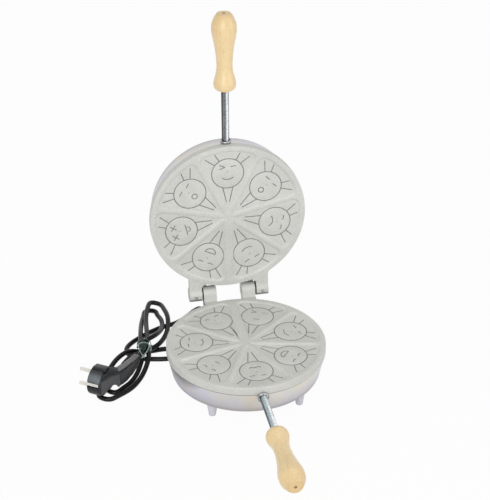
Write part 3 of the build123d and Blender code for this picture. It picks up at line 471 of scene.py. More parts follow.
def beechWood(half):   # pale lacquered beech: long soft grain along the handle, short darker flecks
    material, tree, shader = newMaterial(half + "Beech")
    place = ownPlace(tree, halves[half] @ rodLine)
    drawn = stretched(tree, place, beechSet["drawn"], beechSet["shift"])
    grain = noise(tree, drawn, beechSet["grainScale"], 6, 0.62)
    broad = noise(tree, place, beechSet["broadScale"], 3, 0.5)
    flecks = noise(tree, drawn, beechSet["fleckScale"], 2, 0.5)
    tint = ramp(tree, grain, [(0.28, beechSet["mid"]), (0.5, beechSet["pale"]), (0.75, beechSet["mid"])])
    tint = mixed(tree, tint, (*beechSet["dark"], 1), span(tree, broad, *beechSet["warmth"]), "MIX")
    tint = mixed(tree, tint, ramp(tree, flecks, beechSet["flecks"]), beechSet["fleckShare"])
    end = shareAlong(tree, place, localZ, *beechSet["endSpan"])
    tint = mixed(tree, tint, ramp(tree, end, beechSet["end"]))
    fill(tree, shader, {"Base Color": tint, "Roughness": span(tree, grain, *beechSet["roughness"]),
                        "Normal": bump(tree, flecks, 0.05, 0.3), "Coat Weight": beechSet["coat"],
                        "Coat Roughness": beechSet["coatRoughness"]})
    return material


# painted reflection across each rod, from one flank to the other, then the streaks and spots
rodReflectionAndStreaks = {"base": [(0.0, (0.12, 0.15, 0.17)), (0.1, (0.16, 0.2, 0.23)), (0.18, (0.42, 0.5, 0.54)),
                      (0.36, (0.52, 0.62, 0.66)), (0.5, (0.84, 0.92, 0.95)), (0.62, (0.97, 0.99, 1.0)),
                      (0.86, (0.9, 0.93, 0.95)), (0.94, (0.46, 0.5, 0.52)), (1.0, (0.4, 0.43, 0.45))],
             "lid": [(0.0, (0.06, 0.07, 0.08)), (0.12, (0.08, 0.09, 0.1)), (0.2, (0.3, 0.32, 0.34)),
                     (0.3, (0.15, 0.165, 0.18)), (0.48, (0.3, 0.32, 0.34)), (0.56, (0.97, 0.98, 1.0)),
                     (0.8, (0.9, 0.92, 0.94)), (0.88, (0.16, 0.17, 0.18)), (1.0, (0.12, 0.13, 0.14))],
             "edges": {"base": (-4.8, 4.8), "lid": (4.8, -4.8)},   # the lid's rod is seen the other way round
             "drawn": 0.05, "streakScale": 500, "wander": 0.14, "roughness": (0.12, 0.26), "metallic": 0.8,
             "spotScale": 420, "spots": [(0.36, 0.62), (0.5, 1)]}


def drawnRod(half):   # bright zinc with long drawing streaks, and a painted reflection: dark along one flank, bright along the middle
    material, tree, shader = newMaterial(half + "Rod", metallic=rodReflectionAndStreaks["metallic"])
    place = ownPlace(tree, halves[half] @ rodLine)
    streaks = noise(tree, stretched(tree, place, rodReflectionAndStreaks["drawn"]), rodReflectionAndStreaks["streakScale"], 3, 0.55)
    spots = noise(tree, place, rodReflectionAndStreaks["spotScale"], 3, 0.6)
    side = shareAlong(tree, place, localX, *rodReflectionAndStreaks["edges"][half])
    wander = span(tree, streaks, -rodReflectionAndStreaks["wander"], rodReflectionAndStreaks["wander"])
    reflectionBand = made(tree, "ShaderNodeMath", {0: side, 1: wander}, operation="ADD")
    tint = layered(tree, (reflectionBand.outputs[0], rodReflectionAndStreaks[half]), (spots, rodReflectionAndStreaks["spots"]))
    fill(tree, shader, {"Base Color": tint, "Roughness": span(tree, spots, *rodReflectionAndStreaks["roughness"]),
                        "Normal": bump(tree, streaks, 0.05, 0.3)})
    return material


# moulded rubber with painted light, its tone changing along one direction: frame, direction, edge in mm,
# tones
rubberSet = {
    # painted reflection of the pale floor: the neck lighter on its lower side
    "plugSaddleReflection": (baseFrame, localZ, (-28.2, -25.4),
                   [(0, (0.07, 0.071, 0.075)), (1, (0.006, 0.007, 0.008))]),
    # painted shade: the boot darker towards its lower side, paler on top
    "plugBoot": (baseFrame, localZ, (-50, -26), [(0, (0.003, 0.003, 0.004)), (1, (0.014, 0.015, 0.017))]),
    "plugSheen": (plugFrame, (0.44, -0.9, 0), (14.6, 18.5),   # painted sheen: a highlight band on the disc
                  [(0, (0.007, 0.007, 0.009)), (0.6, (0.045, 0.05, 0.056)), (1, (0.16, 0.178, 0.195))])}


def sidedRubber(name, matrix, towards, edge, tones):
    material, tree, shader = newMaterial(name, roughness=0.42, specular=0.35)
    place = ownPlace(tree, matrix)
    patches = noise(tree, place, 240, 4, 0.6)
    share = shareAlong(tree, place, towards, *edge)
    fill(tree, shader, {"Base Color": layered(tree, (share, tones), (patches, [(0.3, 0.8), (0.7, 1.1)])),
                        "Normal": bump(tree, noise(tree, place, 2600, 3), 0.03, 0.5)})
    return material


for half in halves:
    looks[half + "Casing"] = spunMetal(half)
    looks[half + "Beech"] = beechWood(half)
    looks[half + "Rod"] = drawnRod(half)
for name, settings in rubberSet.items():
    looks[name] = sidedRubber(name, *settings)
print("stage: materials", len(looks))

slotLooks = {
    "cast_plate": "castPlate", "element_steel": "elementSteel", "thermostat_case": "thermostatCase",
    "insulation_wool": "mineralWool", "block_ceramic": "blockCeramic", "wire_sleeve": "wireSleeve",
    "screw_steel": "screwSteel", "collar_steel": "collarSteel", "cord_rubber": "cordRubber",
    "foot_plastic": "footPlastic", "tie_green": "tieGreen", "plug_black": "plugBlack",
    "pin_nickel": "pinNickel"}
for subpart in frame["record"]["subparts"]:   # every CAD node gets its finish, those that stay hidden too
    node, slotName = subpart["node"], subpart["material_slot"]
    half = "lid" if node.startswith("lid_") else "base"
    ownLook = {"spun_casing": "Casing", "beech": "Beech", "rod_zinc": "Rod"}.get(slotName)
    look = looks[half + ownLook] if ownLook else looks[slotLooks[slotName]]
    for place in nodes[node].material_slots:
        place.material = look


# camera, as the photograph was taken

cameraSet = {"azimuth": -11.837, "elevation": 30.99, "distance": 2000, "focal": 1598.357, "picture": 500,
             "right": 1.138, "up": -114.515}


def makeCamera():
    clearSelection()
    bpy.ops.object.camera_add()
    camera = bpy.context.object
    camera.name = "photoCamera"
    side, rise = math.radians(cameraSet["azimuth"]), math.radians(cameraSet["elevation"])
    back = Vector((math.sin(side) * math.cos(rise), -math.cos(side) * math.cos(rise), math.sin(rise)))
    right = Vector((math.cos(side), math.sin(side), 0))
    up = back.cross(right)
    place = (back * cameraSet["distance"] - right * cameraSet["right"] - up * cameraSet["up"]) * mm
    place += Vector((0, backShift, faceHeight))
    camera.matrix_world = Matrix((
        (right[0], up[0], back[0], place[0]), (right[1], up[1], back[1], place[1]),
        (right[2], up[2], back[2], place[2]), (0, 0, 0, 1)))
    camera.data.lens = cameraSet["focal"] * camera.data.sensor_width / cameraSet["picture"]
    camera.data.clip_end = 20
    bpy.context.scene.camera = camera


makeCamera()
print("stage: camera")


# mains lead: one smooth line over the route's points

cordSet = {"radius": 3.2, "layerGap": 0.6, "lie": 3.3, "waist": (-119.5, 77.5), "exit": (-31.2, 116.4, -26),
           "length": 1.27}
gates = {"east": (3.5, 0, 2.05), "west": (-3.5, 0, 2.05), "north": (0, 3.5, 0.3), "south": (0, -3.5, 1.05),
         "top": (1, 1, 3.05), "under": (-5, -7, 0)}
loops = [
    {"heading": -6, "reach": 55, "bows": ((-2, -13), (6, 15)), "roots": ("under", "north"),
     "levels": (0, 0, 0, 0, 0, 0, 0, 0), "tip": 0.4, "steps": 3, "first": 0.2},
    {"heading": 232, "reach": 104, "bows": ((-25, -17), (21, 25)), "roots": ("north", "east"),
     "levels": (1.3, 1.05, 0.3, 0, 0, 0, 0, 0, 0, 0.4, 1.2, 2), "tip": 0.4},
    {"heading": 74.5, "reach": 118, "bows": ((-3, 13), (-27, -25)), "roots": ("east", "south"),
     "levels": (2, 1.7, 1.2, 1.05, 1.05, 0.9, 0.5, 0.85, 1.35, 1, 0.9, 1.1), "tip": 0.37},
    {"heading": 232.5, "reach": 88, "bows": ((-13, -9), (15, 18)), "roots": ("south", "west"),
     "levels": (1.1, 1, 0.3, 0, 0, 0, 0, 0, 0, 0.4, 1.2, 2), "tip": 0.52, "first": 0.155},
    {"heading": 78.5, "reach": 106, "bows": ((1, 7), (-23, -22)), "roots": ("west", "top"),
     "levels": (2, 1.7, 1.1, 0.5, 0, 0, 0, 0.2, 1.05, 1.3, 2.2, 3), "tip": 0.51, "first": 0.135},
]
falling = ((0, 0, 0), (-3.0, 11.2, 0), (-9.4, 18.4, 0.25), (-20.0, 22.4, 0.62), (-34.0, 22.6, 0.92))
lying = ((37.5, 61.5), (20, 53.5), (3.5, 42.8), (-11, 32), (-20, 20), (-20, 7.5), (-13.5, -1.5))
toPlug = ((-122.6, 56, 24.7), (-132, 44.5, 24.5))


def lay(level):   # height of the cord's middle in a layer
    return tableZ + cordSet["lie"] + level * (2 * cordSet["radius"] + cordSet["layerGap"])


def hankLoop(heading, reach, bows, roots, levels, tip, steps=5, first=0.12):
    waistX, waistY = cordSet["waist"]
    shares = [first + (1 - 2 * first) * step / (steps - 1) for step in range(steps)]
    along = (math.cos(math.radians(heading)), math.sin(math.radians(heading)))
    start = gates[roots[0]]
    points = [(waistX + start[0], waistY + start[1], lay(start[2]))]
    flat = []
    for side, order in ((0, shares + [1]), (1, [1] + shares[::-1])):
        near, far = bows[side]
        root = gates[roots[side]]
        for share in order:
            swell = math.sin(math.pi * share) ** 0.5 if share < 1 else tip
            across = (near + (far - near) * share) * swell
            flat.append((waistX + root[0] * (1 - share) + along[0] * reach * share - along[1] * across,
                         waistY + root[1] * (1 - share) + along[1] * reach * share + along[0] * across))
    return points + [(x, y, lay(level)) for (x, y), level in zip(flat, levels)]


def cordRoute():
    exitX, exitY, exitZ = cordSet["exit"]
    waistX, waistY = cordSet["waist"]
    points = [(exitX + dx, exitY + dy, exitZ + share * (lay(0) - exitZ)) for dx, dy, share in falling]
    points += [(waistX + dx, waistY + dy, lay(0)) for dx, dy in lying]
    for settings in loops:
        points += hankLoop(**settings)
    top = gates["top"]
    points.append((waistX + top[0], waistY + top[1], lay(top[2])))
    return points + [(x, y, tableZ + above) for x, y, above in toPlug]


def makeCord():
    lead, curve, spline = newCurve("mainsLead", "NURBS", cordRoute(), origin=(0, backShift, faceHeight))
    spline.order_u = 3
    spline.use_endpoint_u = True
    spline.resolution_u = 10
    curve.bevel_depth = cordSet["radius"] * mm
    curve.bevel_resolution = 5
    curve.use_fill_caps = True
    own(lead, "cordRubber", "base", "cord_rubber", "cord_lead", "cord_hank")
    return lead


mainsLead = makeCord()
print("stage: mains lead")


# casings

casingSet = {"steps": 160, "rings": [   # inner floor, inner wall, rim, outer wall, rolled corner, outer floor
    (-40.8, 12), (-40.8, 60), (-40.8, 87.6), (-40.3, 89.6), (-38.9, 91.3), (-37, 92.3), (-25, 94.9),
    (-12.3, 97.6), (-11.9, 97.8), (-10.6, 97.8), (-10.42, 98), (-10.42, 98.8), (-10.6, 98.98), (-11.9, 98.98),
    (-12.4, 98.85), (-18, 97.65), (-25, 96.15), (-32, 94.65), (-37.2, 93.55), (-38.8, 92.95), (-40.1, 91.9),
    (-41.1, 90.5), (-41.7, 88.9), (-42, 87), (-42, 60), (-42, 5)]}

for half in halves:
    casing = turned(half + "CasingShell", casingSet["rings"], casingSet["steps"])
    finished(casing, halves[half], 30, half + "Casing", half, "spun_casing", half + "_casing")
print("stage: casings")


# plates: the castings' edges are softened, the engraved lines get a darker floor for dirt and painted shade,
# and the hinge gets painted shade

castSet = {"ridgeSoft": 1.0, "grooveSoft": 0.22, "rimSoft": 0.45, "petalDepth": 1.8, "lineDepth": 0.55,
           "lineStart": 0.12, "reach": 96, "rimDepth": 16, "gap": (34, 36), "gapStart": 96,
           "barrelStart": 105, "mergeAngle": 1.5, "sharpAngle": 18, "smoothAngle": 32, "steep": 0.3,
           "level": 0.02, "slack": 0.05, "near": 0.1, "sideways": 0.9, "lugUnder": -0.3,
           "barrelOver": (0.04, 0.5)}


def castingCopy(half):   # the node's own shape, its loose triangles merged
    piece = bpy.data.objects.new(half + "Casting", nodes[half + "_plate"].data.copy())
    bpy.context.scene.collection.objects.link(piece)
    pick(piece)
    bpy.ops.object.mode_set(mode="EDIT")
    bpy.ops.mesh.customdata_custom_splitnormals_clear()
    bpy.ops.mesh.select_all(action="SELECT")
    bpy.ops.mesh.remove_doubles(threshold=0.00001)
    bpy.ops.mesh.dissolve_limited(angle_limit=math.radians(castSet["mergeAngle"]))
    bpy.ops.object.mode_set(mode="OBJECT")
    return piece


def weighEdges(mesh, inverse):   # how far each sharp edge is softened, as a share of the petals' ridges
    places = [inverse @ vertex.co / mm for vertex in mesh.vertices]
    facesOf = {}
    for polygon in mesh.polygons:
        for key in polygon.edge_keys:
            facesOf.setdefault(key, []).append(polygon)
    flatTurn = inverse.to_3x3()
    weights = mesh.attributes.new("bevel_weight_edge", "FLOAT", "EDGE").data
    counts = {"ridgeSoft": 0, "grooveSoft": 0, "rimSoft": 0}
    for edge in mesh.edges:
        a, b = (places[index] for index in edge.vertices)
        sides = facesOf.get(tuple(sorted(edge.vertices)), [])
        if len(sides) != 2:
            continue
        first, second = (flatTurn @ side.normal for side in sides)
        if first.angle(second, 0) < math.radians(castSet["sharpAngle"]):
            continue
        kind = None
        inside = max(a.xy.length, b.xy.length) < castSet["reach"]
        low, high = min(a.z, b.z), max(a.z, b.z)
        if inside and low > -castSet["petalDepth"] - castSet["slack"]:
            if min(abs(first.z), abs(second.z)) >= castSet["steep"]:
                kind = "ridgeSoft"
            elif high - low < castSet["level"]:
                kind = "grooveSoft"
        elif not inside and low > -castSet["rimDepth"]:
            kind = "rimSoft"
        if kind:
            weights[edge.index].value = castSet[kind] / castSet["ridgeSoft"]
            counts[kind] += 1
    return counts


def isDirtAndShade(half, centre, normal):   # engraved lines with dirt and painted shade, painted shadow in the gaps at the hinge, painted shade under the lid's lugs and along the base's knuckle tops
    petal = -castSet["petalDepth"]
    lineFloor = petal - castSet["lineDepth"] - castSet["near"]
    # engraved lines: dirt and painted shade on their floors
    if centre.xy.length < castSet["reach"] and lineFloor < centre.z < petal - castSet["lineStart"]:
        return True
    # painted shadow in the gaps between lugs and knuckles
    atGap = any(abs(abs(centre.x) - side) < castSet["near"] for side in castSet["gap"])
    if atGap and centre.y > castSet["gapStart"] and abs(normal.x) > castSet["sideways"]:
        return True
    # painted shade on the lid's lug faces turned down
    if half == "lid":
        return centre.y > castSet["gapStart"] and normal.z < castSet["lugUnder"]
    # painted shadow along the tops of the base's knuckles
    back, up = castSet["barrelOver"]
    return centre.y > castSet["barrelStart"] and normal.y > back and normal.z > up


def makePlate(half):
    inverse = halves[half].inverted()
    piece = castingCopy(half)
    mesh = piece.data
    counts = weighEdges(mesh, inverse)
    bevel = piece.modifiers.new("soft", "BEVEL")
    bevel.limit_method, bevel.width, bevel.segments = "WEIGHT", castSet["ridgeSoft"] * mm, 3
    bevel.use_clamp_overlap = True
    bpy.ops.object.modifier_apply(modifier="soft")
    bpy.ops.object.shade_smooth_by_angle(angle=math.radians(castSet["smoothAngle"]))
    own(piece, "castPlate", half, "cast_plate", half + "_plate")
    # a darker second finish: dirt and painted shade in the engraved lines, painted shade at the hinge
    mesh.materials.append(looks["grooveDirtAndShade"])
    for polygon in mesh.polygons:
        if isDirtAndShade(half, inverse @ polygon.center / mm, polygon.normal):
            polygon.material_index = 1
    print("  plate", half, counts, len(mesh.polygons), "faces")


for half in halves:
    makePlate(half)
print("stage: plates")


# rods, collars and handles

handleSet = {"start": 170, "length": 100, "steps": 96, "boreDepth": 1.5,
             "profile": [   # share of the length from the far end, radius
                 (0, 8.5), (0.018, 9.9), (0.059, 12.4), (0.13, 15.1), (0.2, 15.7), (0.271, 14.9),
                 (0.355, 13.3), (0.449, 11.7), (0.57, 10.3), (0.682, 9.9), (0.757, 10.7), (0.828, 12.5),
                 (0.888, 13.9), (0.935, 13.8), (0.972, 12.1), (1, 7.3)],
             # mouth: past the start, more than the rod's radius, and tip: before the end, radius
             "mouth": [(0.6, 0.1), (0.15, 0.25), (0, 0.6), (0.02, 1.95)],
             "tip": [(0.5, 8.55), (0.12, 8.2), (0, 7.7), (0, 1.9), (0.15, 1.7), (1.4, 1.6), (1.45, 0.8)]}
rodSet = {"start": 96, "end": 256, "radius": 4.75, "tipEnd": 268.4, "tipRadius": 2.4, "ease": 0.4,
          "boreRadius": 2.5, "boreDepth": 1}
collarSet = {"rings": [(95.2, 4.9), (95.2, 6.1), (100.3, 6.1), (100.32, 6.7), (100.5, 7.1), (100.9, 7.25),
                       (102.4, 7.25), (102.9, 7.15), (103.2, 6.95), (103.28, 6.75), (103.28, 6.4),
                       (103.1, 6.2), (102.2, 6.1), (101.9, 5.9), (101.8, 4.8), (101.8, 4.3)]}


def darkenBore(piece, line, start):   # the drilled end is burnt brown
    piece.data.materials.append(looks["boreBrown"])
    inverse = line.inverted()
    for polygon in piece.data.polygons:
        centre = inverse @ polygon.center / mm
        if centre.z > start and centre.xy.length < rodSet["boreRadius"]:
            polygon.material_index = 1


def makeHandle(half, line):
    start, length = handleSet["start"], handleSet["length"]
    end = start + length
    rings = [(start + past, rodSet["radius"] + more) for past, more in handleSet["mouth"]]
    profile = [(end - share * length, radius) for share, radius in reversed(handleSet["profile"])]
    rings += smoothProfile(profile, 4)[:-1]
    rings += [(end - before, radius) for before, radius in handleSet["tip"]]
    handle = turned(half + "Handle", rings, handleSet["steps"])
    finished(handle, line, 50, half + "Beech", half, "beech", half + "_handle")
    darkenBore(handle, line, end - handleSet["boreDepth"])


def makeRod(half, line):
    start, end, tipEnd = rodSet["start"], rodSet["end"], rodSet["tipEnd"]
    radius, tipRadius, ease = rodSet["radius"], rodSet["tipRadius"], rodSet["ease"]
    rings = [(start, radius - 1), (start, radius), (handleSet["start"] - 1.5, radius), (end, radius),
             (end, tipRadius), (tipEnd - ease, tipRadius), (tipEnd, tipRadius - ease)]
    rod = turned(half + "Rod", rings, 48)
    finished(rod, line, 40, half + "Rod", half, "rod_zinc", half + "_rod")
    darkenBore(rod, line, tipEnd - rodSet["boreDepth"])
    collar = turned(half + "Collar", collarSet["rings"], 56)
    finished(collar, line, 35, "collarSteel", half, "collar_steel", half + "_rod_collar")


for half, matrix in halves.items():
    makeHandle(half, matrix @ rodLine)
    makeRod(half, matrix @ rodLine)
print("stage: handles")


# feet with fine flutes

footSet = {"right": 55, "back": 61, "height": 18, "topRadius": 6.75, "tipRadius": 4.35, "flutes": 18,
           "fluteDepth": 0.22, "fluteSpan": (0.1, 0.87), "fluteReach": 3.5, "seat": 0.03,
           "shares": (0.12, 0.35, 0.6, 0.85, 0.93),
           "shoulder": [(0, 0.35), (0.35, 0), (1.6, 0.12)],   # below the top, less than its radius
           "toe": [(0.45, 0), (0.1, 0.2), (0, 0.5)],   # above the tip, less than its radius
           "recess": [(0, 3.1), (0.2, 2.95), (3.2, 2.9)]}   # above the tip, radius


def makeFoot(name, x, y):
    top, height = casingFloor + footSet["seat"], footSet["height"] + footSet["seat"]
    wide, slim = footSet["topRadius"], footSet["tipRadius"]
    tip = top - height
    rings = [(top - below, wide - less) for below, less in footSet["shoulder"]]
    rings += [(top - height * share, wide + (slim - wide) * share) for share in footSet["shares"]]
    rings += [(tip + above, slim - less) for above, less in footSet["toe"]]
    rings += [(tip + above, radius) for above, radius in footSet["recess"]]
    steps = footSet["flutes"] * 4
    foot = turned("foot_" + name, rings, steps)
    first, last = footSet["fluteSpan"]
    for vertex in foot.data.vertices:   # every fourth strip of the cone is sunk a little
        share = (top * mm - vertex.co.z) / (height * mm)
        strip = round(math.degrees(math.atan2(vertex.co.y, vertex.co.x)) / (360 / steps))
        if first < share < last and strip % 4 == 0 and vertex.co.xy.length > footSet["fluteReach"] * mm:
            vertex.co.xy *= 1 - footSet["fluteDepth"] * mm / vertex.co.xy.length
    finished(foot, baseFrame @ moved(x, y, 0), 28, "footPlastic", "base", "foot_plastic", "foot_" + name)


for row, back in (("front", -1), ("rear", 1)):
    for side, right in (("left", -1), ("right", 1)):
        makeFoot(row + "_" + side, right * footSet["right"], back * footSet["back"])
print("stage: feet")


# hinge pins and set screws

pinSet = {"inner": 18, "outer": 51, "radius": 3, "first": [(0, 0.7), (0.3, 0.1), (0.6, 0)],
          "last": [(0.7, 0), (0.25, 0.15), (0, 0.6)], "slot": 0.8, "slotDepth": 0.7}
setScrewSet = {"turn": -5, "middle": 44, "radius": 2.1, "start": 3.1, "end": 8.9,
               "first": [(0, 0.2), (0.2, 0)], "last": [(0.3, 0), (0, 0.3), (0, 0.85), (1.4, 0.9)]}


def makeHingePin(name, side):
    outer, width = pinSet["outer"], pinSet["slot"] / 2
    rings = pinRings(pinSet["inner"], outer, pinSet["radius"], pinSet["first"], pinSet["last"])
    pin = turned("hingePin" + name, rings, 40)
    cutAway(pin, box("slot", (-4, -width, outer - pinSet["slotDepth"]), (4, width, outer + 1), 0.05))
    finished(pin, pinLine @ turn(90 * side, "Y"), 35, "screwSteel", "lid", "screw_steel",
             "hinge_pin_" + name.lower())


def makeSetScrews():
    rings = pinRings(*(setScrewSet[key] for key in ("start", "end", "radius", "first", "last")))
    screws = []
    for side in (-1, 1):
        screw = turned("screw", rings, 36)
        settle(screw, pinLine @ turn(setScrewSet["turn"], "X") @ moved(side * setScrewSet["middle"], 0, 0))
        screws.append(screw)
    piece = joined("hingeSetScrews", screws)
    softEdges(piece, 35)
    own(piece, "screwSteel", "lid", "screw_steel", "hinge_set_screws")


makeHingePin("Left", 1)
makeHingePin("Right", -1)
makeSetScrews()


# casing screws, strain relief and bushes

casingScrewSet = {"rings": [(-20, 2.2), (-20.3, 2.5), (-41.9, 2.5), (-42.02, 4.9), (-43, 5), (-44, 4.6),
                            (-44.7, 3.6), (-45, 2.2)],
                  "slot": ((-7, -0.6, -46), (7, 0.6, -43.9))}
glandSet = {"azimuth": 105, "depth": 26, "wall": 96.13, "length": 24.4, "ribs": 6, "radius": 6.9,
            "taper": 2.2, "rib": [(0, 0), (0.55, 0), (0.62, 0.8), (0.93, 0.8)],   # share of its length, depth
            "flange": [(89.9, 6.9), (90.2, 7.4), (92.1, 7.4), (92.4, 5.5), (95.4, 5.5), (95.9, 8.6),
                       (97.2, 8.95), (98.3, 8.9), (98.9, 8.4), (99.1, 7.4), (99.6, 6.9)],
            "tip": [(0.6, 4.65), (0.1, 4.4), (0, 4.0), (0, 3.3)]}   # before the end, radius
bushSet = {"depth": 26, "rings": [(90.05, 3.4), (90.0, 6.6), (90.3, 7), (91.6, 7), (91.9, 5), (95.6, 5),
                                  (96.4, 6.9), (98.4, 7), (98.9, 6.6), (99.1, 6.1), (99.1, 3.9), (98.9, 3.5),
                                  (98.2, 3.3), (90.6, 3.3), (90.4, 2.4)]}


def outwardLine(half, azimuth, depth):   # local Z points out of the casing's side
    return halves[half] @ moved(0, 0, -depth) @ turn(azimuth, "Z") @ turn(90, "Y")


def makeCasingScrew(half):
    screw = turned(half + "CasingScrew", casingScrewSet["rings"], 48)
    cutAway(screw, box("slot", *casingScrewSet["slot"], 0.05))
    finished(screw, halves[half], 35, "screwSteel", half, "screw_steel", half + "_casing_screw", width=0.12)


def makeGland():
    start, end = glandSet["flange"][-1][0] + 1, glandSet["wall"] + glandSet["length"]
    last = end - glandSet["tip"][0][0]
    step = (last - start) / glandSet["ribs"]
    rings = list(glandSet["flange"])
    for rib in range(glandSet["ribs"]):
        for share, sink in glandSet["rib"]:
            taper = glandSet["taper"] * (rib + share) / glandSet["ribs"]
            rings.append((start + step * (rib + share), glandSet["radius"] - taper - sink))
    rings += [(end - before, radius) for before, radius in glandSet["tip"]]
    gland = turned("cordGland", rings, 56)
    place = outwardLine("base", glandSet["azimuth"], glandSet["depth"])
    finished(gland, place, 40, "cordRubber", "base", "cord_rubber", "cord_gland", width=0.12)


def makeBush(half):
    bush = turned(half + "LinkBush", bushSet["rings"], 48)
    place = outwardLine(half, 90, bushSet["depth"])
    finished(bush, place, 40, "cordRubber", half, "cord_rubber", half + "_link_bush", width=0.12)


for half in halves:
    makeCasingScrew(half)
    makeBush(half)
makeGland()
print("stage: hinge and fittings")


# plug

def makePlugBody():
    depth, radius = plugSet["discDepth"], plugSet["discRadius"]
    disc = turned("disc", pinRings(-depth, 0, radius, plugSet["backEdge"], plugSet["faceEdge"]), 96)
    half = plugSet["slotHalf"]
    for side in (-1, 1):
        near, far = sorted(side * edge for edge in plugSet["slot"])
        cutAway(disc, box("slot", (-half, near, -depth + plugSet["slotFloor"]), (half, far, 1), 0.3))
    rail = box("rail", *plugSet["rail"], 0.9)
    neck = bent("neck", smoothProfile(plugSet["neck"], 3), plugSet["neckCorner"])
    for part, line, look in ((disc, plugFrame, "plugSheen"), (rail, plugFrame, "plugBlack"),
                             (neck, baseFrame, "plugSaddleReflection")):
        settle(part, line)
        part.data.materials.append(looks[look])
    piece = joined("plugBody", [disc, rail, neck])
    softEdges(piece, 38)
    carried(piece, "base", "plug_black", "plug_body")
    return piece


def makePlugBoot():
    boot = bent("plugBoot", plugSet["boot"], plugSet["bootCorner"], 4)
    finished(boot, baseFrame, 30, "plugBoot", "base", "plug_black", "plug_boot", width=0.3, angle=25)
    boot.data.materials.append(looks["plugFacetHighlight"])
    for polygon in boot.data.polygons:   # painted highlight on the upper facet
        if polygon.normal.z > plugSet["facetUp"]:
            polygon.material_index = 1
    return boot


def makePlugMetal():
    rings = pinRings(0, plugSet["pinLength"], plugSet["pinRadius"], plugSet["pinRoot"], plugSet["pinTip"])
    half, (past, face) = plugSet["clipHalf"], plugSet["clipEnds"]
    back = -plugSet["discDepth"] + past
    pins, clips = [], []
    for side in (-1, 1):
        pin = turned("pin", rings, 40)
        settle(pin, moved(side * plugSet["pinSpacing"] / 2, 0, 0))
        pins.append(pin)
        near, far = sorted(side * edge for edge in plugSet["clip"])
        clips.append(box("clip", (-half, near, back), (half, far, face), 0.25))
    metal, strips = joined("plugPins", pins), joined("plugEarthClips", clips)
    finished(metal, plugFrame, 45, "pinNickel", "base", "pin_nickel", "plug_pins")
    finished(strips, plugFrame, 35, "pinNickel", "base", "pin_nickel", "plug_earth_clips")
    return metal, strips


plugPieces = [makePlugBody(), makePlugBoot(), *makePlugMetal()]
print("stage: plug")


# twist tie: a flat ribbon with a wire in it, round the waist, its ends twisted together

tieSet = {"left": -7.5, "right": 10, "low": 6.6, "high": 28, "width": 4, "thick": 0.55, "corner": 4.5,
          "wire": 0.5, "wireRise": 1.7,   # half width of the wire, its height in shares of the ribbon's
          "knot": (-121.2, 55.8, -29.6), "knotBack": (0, 0.88, 0.475), "innerWidth": 2, "ringWidth": 1.5,
          "tailWidth": 1.7,   # places in the knot's own plane: right, back, above
          "ring": [(-6.2, 6.4, 0), (-1, 7.4, 0.6), (5, 6.6, 0), (7.4, 3.4, -0.6), (5.8, -1.8, 0),
                   (2.2, -7, 0.5), (-1.6, -11.8, 0.6), (-4.4, -10, 0.3), (-5.8, -4, 0), (-6.8, 1.5, -0.4)],
          "inner": [(-3.6, 4.4, 1.5), (3.8, 4.6, 1.5), (3.9, 4, 1.5), (-0.4, -4.2, 1.5), (-1, -4.2, 1.5),
                    (-3.9, 3.8, 1.5)],
          "tails": {"Left": [(-2.4, -10.6, 0.8), (-3.4, -12.2, 0.8), (-5.2, -14.8, 0)],
                    "Front": [(1, -8, 0.8), (-1, -11, 0.9), (-2.6, -14.6, 0)],
                    "Right": [(6.4, 2.4, 0.9), (8.8, 0.4, 0.9), (9.2, -2, 0.4), (7.6, -5.6, -0.6)]}}


def ribbonPath(name, points, width, closed):   # a flat profile swept along a smooth line, as a mesh
    half, thick, wire = width / 2, tieSet["thick"] / 2, tieSet["wire"]
    lower = [(-half, -thick / 2, 0), (-wire, -thick, 0), (0, -thick * tieSet["wireRise"], 0)]
    lower += [(wire, -thick, 0), (half, -thick / 2, 0)]
    upper = [(x, -y, 0) for x, y, _ in reversed(lower)]
    profile, _, section = newCurve(name + "Profile", "POLY", lower + upper, "2D")
    section.use_cyclic_u = True
    ribbon, curve, spline = newCurve(name, "NURBS", points)
    curve.twist_mode = "Z_UP" if closed else "MINIMUM"
    spline.order_u = 3
    spline.use_endpoint_u = not closed
    spline.use_cyclic_u = closed
    spline.resolution_u = 8
    curve.bevel_mode = "OBJECT"
    curve.bevel_object = profile
    curve.use_fill_caps = not closed
    pick(ribbon)
    bpy.ops.object.convert(target="MESH")
    bpy.data.objects.remove(profile, do_unlink=True)
    outwards(ribbon)
    return ribbon


def knotLoop(name, places, width, closed):   # a ribbon in the knot's own plane, tilted towards the front
    right, back = Vector(localX), Vector(tieSet["knotBack"])
    above = right.cross(back)
    points = [Vector(tieSet["knot"]) + right * u + back * v + above * w for u, v, w in places]
    return ribbonPath(name, points, width, closed)


def makeTie():
    left, right, low, high, cut = (tieSet[key] for key in ("left", "right", "low", "high", "corner"))
    middle, level = (left + right) / 2, (low + high) / 2
    around = [(left + cut, low), (middle, low - 0.1), (right - cut, low), (right, low + cut),
              (right + 0.1, level), (right, high - cut), (right - cut, high), (middle, high + 0.3),
              (left + cut, high), (left, high - cut), (left - 0.2, level), (left, low + cut)]
    waistX, waistY = cordSet["waist"]
    band = ribbonPath("tieBand", [(waistX + x, waistY, tableZ + z) for x, z in around], tieSet["width"], True)
    green = [band, knotLoop("tieInner", tieSet["inner"], tieSet["innerWidth"], True)]
    pale = [knotLoop("tieRing", tieSet["ring"], tieSet["ringWidth"], True)]
    for name, places in tieSet["tails"].items():
        pale.append(knotLoop("tie" + name, places, tieSet["tailWidth"], False))
    for parts, look in ((green, "tieGreen"), (pale, "tieEdge")):
        for part in parts:
            part.data.materials.append(looks[look])
    piece = joined("twistTie", green + pale)
    settle(piece, baseFrame)
    softEdges(piece, 40)
    carried(piece, "base", "tie_green", "twist_tie")
    return piece


twistTie = makeTie()
print("stage: twist tie")


# floor, world and lamps

